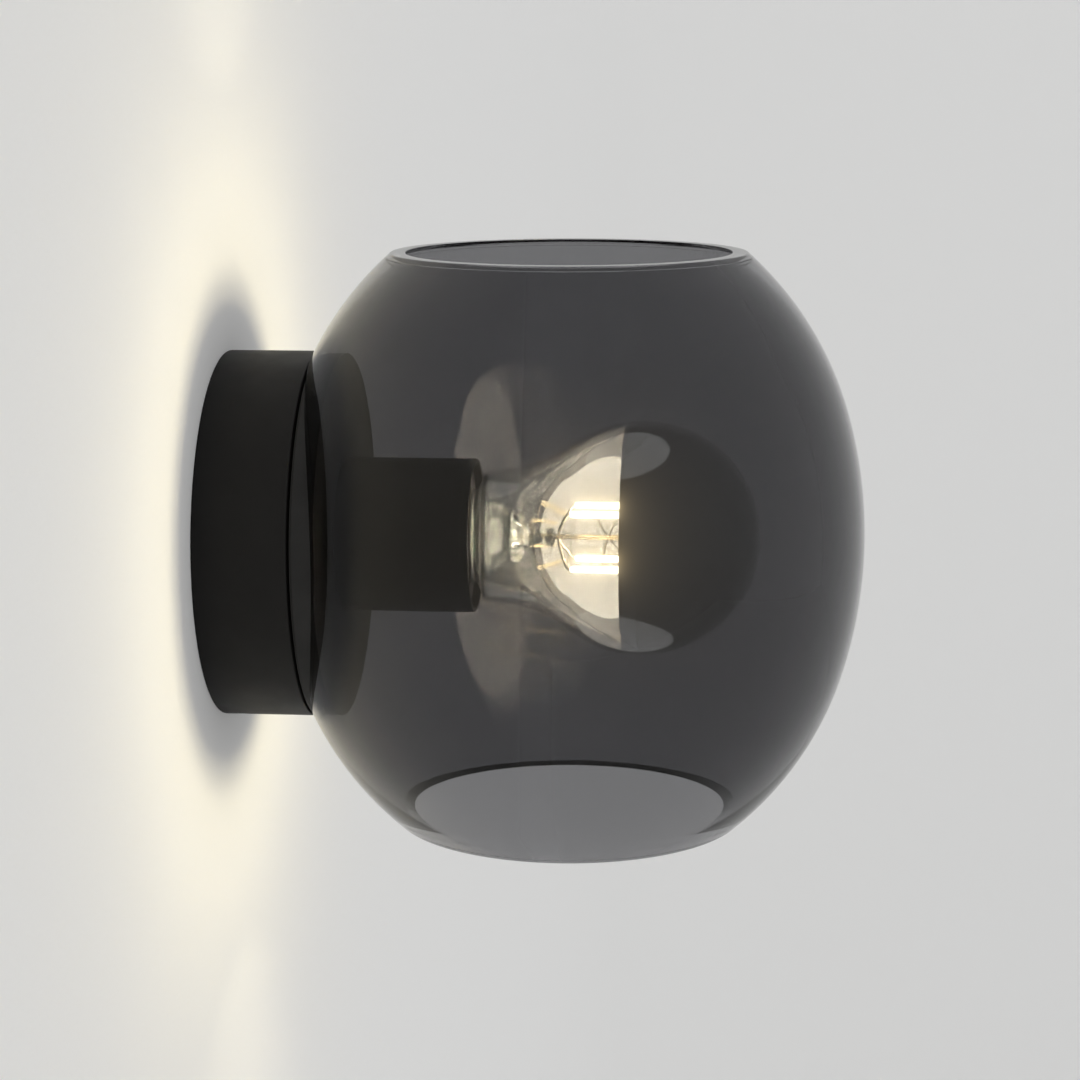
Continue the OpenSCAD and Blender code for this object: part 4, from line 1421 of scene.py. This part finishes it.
@dataclass
class Stem:
    """The glass stem: a flare, a tube, the pressed fold and the thin tip.

    outer and inner are its walls as (radius, distance from the wall). The fold and the
    press are given by where they are and over what length.
    """

    outer: tuple[Point2, ...] = (
        (11.35, 64.4), (11.35, 67.6), (11.75, 69.2), (12.0, 70.4), (11.6, 71.8), (10.6, 73.2),
        (9.2, 74.6), (7.9, 75.8), (7.1, 77.0), (6.9, 78.2), (7.1, 79.4), (6.6, 80.6), (4.6, 82.0),
        (3.1, 83.6), (2.7, 85.6), (2.6, 88.0), (2.2, 89.8), (1.2, 90.25), (0.0, 90.3),
    )
    inner: tuple[Point2, ...] = (
        (0.0, 82.2), (1.6, 81.6), (3.6, 80.6), (5.4, 79.4), (6.0, 78.2), (6.2, 76.9), (7.1, 75.4),
        (8.5, 74.0), (9.8, 72.7), (10.7, 71.5), (11.0, 70.4), (10.8, 69.2), (10.45, 67.6),
        (10.45, 64.4),
    )
    fold: Point2 = (80.2, 1.7)
    press: Point2 = (84.6, 2.6)
    pinch: float = 0.3
    sides: int = 120

    def build(self, shop: Workshop) -> None:
        """Makes the stem.

        Args:
            shop: The finishes.
        """
        profile = refined(list(self.outer), 3) + refined(list(self.inner), 3)

        def folded(angle: float) -> Outline:
            """Gives the outline, pinched flat where the jaws closed on it.

            Args:
                angle: Where it is round the axis, in radians.

            Returns:
                The points there.
            """
            lobes = 0.10 * math.cos(6 * angle) + 0.05 * math.cos(11 * angle + 0.7)
            flat = self.pinch * math.sin(angle) ** 2
            made = []
            for r, d in profile:
                fold, press = (
                    math.exp(-(((d - at) / reach) ** 2)) for at, reach in (self.fold, self.press)
                )
                made.append((r * (1 + fold * lobes) * (1 - press * flat), d))
            return made

        stem = new_object("stem_glass", turned_mesh("stem_glass", folded, self.sides))
        shop.mount(stem, Body.LAMP, STEM_GLASS, "lamp_stem")


@dataclass
class Bulb:
    """The glass bulb, its mirrored crown, the stem and the four filaments."""

    ball_r: float = 32.0
    ball_d: float = 113.6
    wall: float = 0.8
    neck_r: float = 12.5
    neck_d: Point2 = (63.7, 67.9)
    waist_r: float = 18.0
    curve_r: float = 38.0
    flare_shift: float = 0.7
    sides: int = 192
    mirror_gap: float = 0.05
    mirror_t: float = 0.25
    mirror_edge_d: float = 109.0
    filament_side: float = 7.5
    filament_d: float = 94.45
    filament_l: float = 29.85
    filament_r: float = 0.9
    wire_r: float = 0.35
    rod_r: float = 0.7
    lead_in_r: float = 0.3
    lead_in: tuple[Point2, ...] = ((3.0, 60.0), (3.0, 78.0), (1.2, 84.0))
    hub_d: Point2 = (90.6, 124.3)
    hub_foot: float = 2.0
    hub_top: float = 2.4

    def build(self, shop: Workshop) -> None:
        """Makes the bulb and what stands in it.

        Args:
            shop: The finishes and recipes.
        """
        walls = self._curve(0.0) + self._curve(self.wall)[::-1]
        glass = new_object("bulb_glass", turned_mesh("bulb_glass", walls, self.sides))
        shop.mount(glass, Body.LAMP, BULB_GLASS, "lamp_envelope")
        self._mirror(shop)
        Stem().build(shop)
        self._wires(shop)
        feet = [[out_point(x, up, self.filament_d)] for x, up in self._corners]
        base = path_mesh("filament_rods", feet)
        sizes = {"Radius": self.filament_r * MM, "Length": self.filament_l * MM}
        rods = shop.rod.grow("filament_rods", base, sizes, shop.material(PHOSPHOR))
        shop.mount(rods, Body.LAMP, PHOSPHOR, "filaments")

    @property
    def _corners(self) -> list[Point2]:
        """Where the four filaments stand, as (across, up)."""
        sides = (-self.filament_side, self.filament_side)
        return [(x, up) for x in sides for up in sides]

    def _curve(self, inset: float) -> Outline:
        """Gives the bulb's outline: the neck, its flare, the hollow curve and the ball.

        Args:
            inset: How far inside the outer face it lies, in mm.

        Returns:
            Points as (radius, distance from the wall).
        """
        centre_r = self.waist_r + self.curve_r
        centre_d = self.ball_d - math.sqrt((self.ball_r + self.curve_r) ** 2 - centre_r**2)
        angle = math.atan2(centre_d - self.ball_d, centre_r)
        low, high = self.neck_d
        flare, steps = [], 16
        for i in range(steps + 1):
            share = (1 - math.cos(math.pi * i / steps)) / 2
            radius = self.neck_r - inset + (self.waist_r - self.neck_r) * share
            d = high + inset * self.flare_shift + (centre_d - high) * i / steps
            flare.append((radius, d))
        turn = (math.pi, math.pi + angle)
        hollow = arc((centre_r, centre_d), self.curve_r + inset, *turn, steps=24)
        ball = self._ball(self.ball_r - inset, angle, steps=72)
        return [(self.neck_r - inset, low), *flare, *hollow[1:], *ball[1:]]

    def _ball(self, radius: float, start: float, steps: int) -> Outline:
        """Gives an arc round the ball's centre from an angle to the crown's middle."""
        points = arc((0.0, self.ball_d), radius, start, math.pi / 2, steps)
        return [*points[:-1], (0.0, self.ball_d + radius)]

    def _mirror(self, shop: Workshop) -> None:
        """Makes the silver film, whose inner face glows with a painted reflection of the filaments.

        Args:
            shop: The finishes.
        """
        outer_r = self.ball_r - self.wall - self.mirror_gap
        inner_r = outer_r - self.mirror_t
        rim = self.mirror_edge_d - self.ball_d
        outer, inner = (self._ball(r, math.asin(rim / r), steps=64) for r in (outer_r, inner_r))
        mesh = turned_mesh("crown_film", outer + inner[::-1], self.sides)
        centre = out_point(0.0, 0.0, self.ball_d)
        middle = (outer_r + inner_r) / 2 * MM
        for finish in (SILVER_FILM, CROWN_PAINTED_REFLECTION):
            mesh.materials.append(shop.material(finish))
        # Inner faces take the painted reflection of the filaments, outer faces the plain mirror.
        for face in mesh.polygons:
            face.material_index = int((face.center - centre).length < middle)
        shop.mount(new_object("crown_film", mesh), Body.LAMP, SILVER_FILM, "mirror_crown")

    def _wires(self, shop: Workshop) -> None:
        """Makes the middle rod and the wires that hold the filaments.

        Args:
            shop: The finishes and recipes.
        """
        low, top = self.hub_d
        foot = self.filament_d
        # Each wire's bends: its share of the filament's distance from the axis, and its d.
        feet = ((0.0, low + 0.4), (0.25, low + 0.9), (0.85, foot - 1.2))
        feet += ((1.0, foot - 0.4), (1.0, foot + 0.6))
        heads = ((0.0, top + 1.2), (0.9, top + 1.2), (1.0, top + 0.8), (1.0, top - 0.3))
        held = [
            [out_point(share * x, share * up, d) for share, d in bends]
            for x, up in self._corners
            for bends in (feet, heads)
        ]
        spine = [[out_point(0.0, 0.0, d) for d in (low - self.hub_foot, top + self.hub_top)]]
        lead_in = [[out_point(side * x, 0.0, d) for x, d in self.lead_in] for side in (-1, 1)]
        for name, paths, radius, replaced in (
            ("filament_wires", held, self.wire_r, ("stem_wires",)),
            ("filament_spine", spine, self.rod_r, ()),
            ("lead_in_wires", lead_in, self.lead_in_r, ()),
        ):
            base, sizes = path_mesh(name, paths), {"Radius": radius * MM}
            wires = shop.wire.grow(name, base, sizes, shop.material(NICKEL))
            shop.mount(wires, Body.LAMP, NICKEL, *replaced)


# ---------------------------------------------------------------- stage


@dataclass(frozen=True)
class LampLight:
    """Part of what the lamp sheds on matt surfaces: where it stands, its size and power."""

    name: str
    at_d: float
    radius: float
    power: float
    colour: str = "#FFF3CE"

    def build(self) -> None:
        """Makes the light, which is never seen itself, and lets it ride on the lamp."""
        glow = bpy.data.lights.new(self.name, "POINT")
        glow.energy = self.power
        glow.color = linear(self.colour)[:3]
        glow.shadow_soft_size = self.radius * MM
        lamp = bpy.data.objects.new(self.name, glow)
        lamp.location = out_point(0.0, 0.0, self.at_d)
        bpy.context.scene.collection.objects.link(lamp)
        lamp.visible_camera = lamp.visible_glossy = lamp.visible_transmission = False
        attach(lamp, Body.LAMP.value)


@dataclass
class Studio:
    """A pale wall and floor in plain soft light, with the lamp's own light. Sizes in metres."""

    wall_end_r: float = 0.45
    wall_hole_r: float = 0.046
    wall_flare_x: float = 1.2
    corner_x: float = 1.6
    cove_r: float = 1.4
    reach: float = 6.0
    floor_z: float = -1.6
    ceiling_z: float = 3.0
    room_light: float = 0.75
    lights: tuple[LampLight, ...] = (
        LampLight("crown_light", at_d=135.0, radius=14.0, power=0.66),
        LampLight("filament_light", at_d=100.0, radius=12.0, power=0.58),
    )

    def build(self, shop: Workshop) -> None:
        """Makes the wall, floor, room light and the lamp's light.

        Args:
            shop: The finishes.
        """
        for mesh in (self._wall(), self._cove(), self._floor()):
            mesh.materials.append(shop.material(PALE_PAINT))
            new_object(mesh.name, mesh)
            log.info("%s set up", mesh.name)
        world = bpy.data.worlds.new("soft_room")
        world.use_nodes = True
        world.node_tree.nodes.clear()
        plain = {"Color": (1.0, 1.0, 1.0, 1.0), "Strength": self.room_light}
        sky = add_node(world.node_tree, "ShaderNodeBackground", plain)
        add_node(world.node_tree, "ShaderNodeOutputWorld", {"Surface": sky})
        bpy.context.scene.world = world
        for light in self.lights:
            light.build()
        self._bloom()

    def _bloom(self) -> None:
        """Lets the brightest light spread softly, as it does in a lens."""
        scene = bpy.context.scene
        scene.use_nodes = True
        tree = scene.node_tree
        tree.nodes.clear()
        picture = add_node(tree, "CompositorNodeRLayers").outputs["Image"]
        soft = {"glare_type": "BLOOM", "Threshold": 1.1, "Strength": 1.0, "Size": 0.4}
        spread = add_node(tree, "CompositorNodeGlare", soft | {"Image": picture})
        add_node(tree, "CompositorNodeComposite", {"Image": spread.outputs["Image"]})

    def _wall(self) -> Mesh:
        """Makes the wall, with a round end on the left and a hole behind the canopy.

        Returns:
            Its mesh, named wall.
        """
        far, flare, low, high = self.corner_x, self.wall_flare_x, self.floor_z, self.ceiling_z
        edge = arc((0.0, 0.0), self.wall_end_r, math.pi / 2, math.pi * 1.5, steps=64)
        edge += [(flare, low), (far, low), (far, high), (flare, high)]
        hole = arc((0.0, 0.0), self.wall_hole_r, 0.0, 2 * math.pi, steps=96)[:-1]
        shell = bmesh.new()
        for line in (edge, hole):
            loop = [shell.verts.new((x, 0.0, z)) for x, z in line]
            for i, vertex in enumerate(loop):
                shell.edges.new((vertex, loop[(i + 1) % len(loop)]))
        bmesh.ops.triangle_fill(shell, edges=shell.edges, use_beauty=True)
        for face in shell.faces:
            face.normal_update()
            if face.normal.y > 0:
                face.normal_flip()
        mesh = bpy.data.meshes.new("wall")
        shell.to_mesh(mesh)
        shell.free()
        return mesh

    def _cove(self) -> Mesh:
        """Makes the curve that takes the wall round into the room.

        Returns:
            Its mesh, named cove.
        """
        line = arc((self.corner_x, -self.cove_r), self.cove_r, math.pi / 2, 0.0, steps=48)
        line.append((self.corner_x + self.cove_r, -self.reach))
        mesh = bpy.data.meshes.new("cove")
        points = [(x, y, z) for x, y in line for z in (self.floor_z, self.ceiling_z)]
        faces = [(2 * i, 2 * i + 2, 2 * i + 3, 2 * i + 1) for i in range(len(line) - 1)]
        mesh.from_pydata(points, [], faces)
        if mesh.polygons[0].normal.y > 0:
            mesh.flip_normals()
        mesh.shade_smooth()
        return mesh

    def _floor(self) -> Mesh:
        """Makes the floor.

        Returns:
            Its mesh, named floor.
        """
        x, z = self.reach / 2, self.floor_z
        mesh = bpy.data.meshes.new("floor")
        points = [(-x, 0.0, z), (x, 0.0, z), (x, -self.reach, z), (-x, -self.reach, z)]
        mesh.from_pydata(points, [], [(0, 3, 2, 1)])
        return mesh


@dataclass
class Viewpoint:
    """The photograph's camera, low on the left and close to the wall."""

    at_mm: Point3 = (-696.3, -151.3, 132.7)
    forward: Point3 = (0.9779, 0.0923, -0.1878)
    roll: float = -0.14
    focal_px: float = 2609.97
    frame_px: float = 1080.0
    sensor_mm: float = 36.0

    def build(self) -> None:
        """Makes the camera and gives it to the scene."""
        lens = bpy.data.cameras.new("photo_view")
        lens.sensor_width = self.sensor_mm
        lens.lens = self.sensor_mm * self.focal_px / self.frame_px
        lens.clip_start, lens.clip_end = 0.01, 60.0
        ahead = Vector(self.forward).normalized()
        right = ahead.cross(Vector((0.0, 0.0, 1.0))).normalized()
        upright = right.cross(ahead)
        turn = Matrix.Rotation(math.radians(self.roll), 3, -ahead)
        axes = Matrix((turn @ right, turn @ upright, -ahead)).transposed().to_4x4()
        camera = bpy.data.objects.new("photo_view", lens)
        camera.matrix_world = Matrix.Translation(Vector(self.at_mm) * MM) @ axes
        bpy.context.scene.collection.objects.link(camera)
        bpy.context.scene.camera = camera


def main() -> None:
    """Builds the sconce's looks round the CAD frame, piece by piece."""
    logging.basicConfig(level=logging.INFO, format="%(name)s: %(message)s")
    shop = Workshop(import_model()["nodes"])
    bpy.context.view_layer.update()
    Viewpoint().build()
    for kind in (WallPlate, Canopy, DiscPlate, Holder, LampCap, Bulb, GlassGlobe, Studio):
        kind().build(shop)
    bpy.context.scene.view_settings.view_transform = "Standard"


if __name__ == "__main__":
    main()
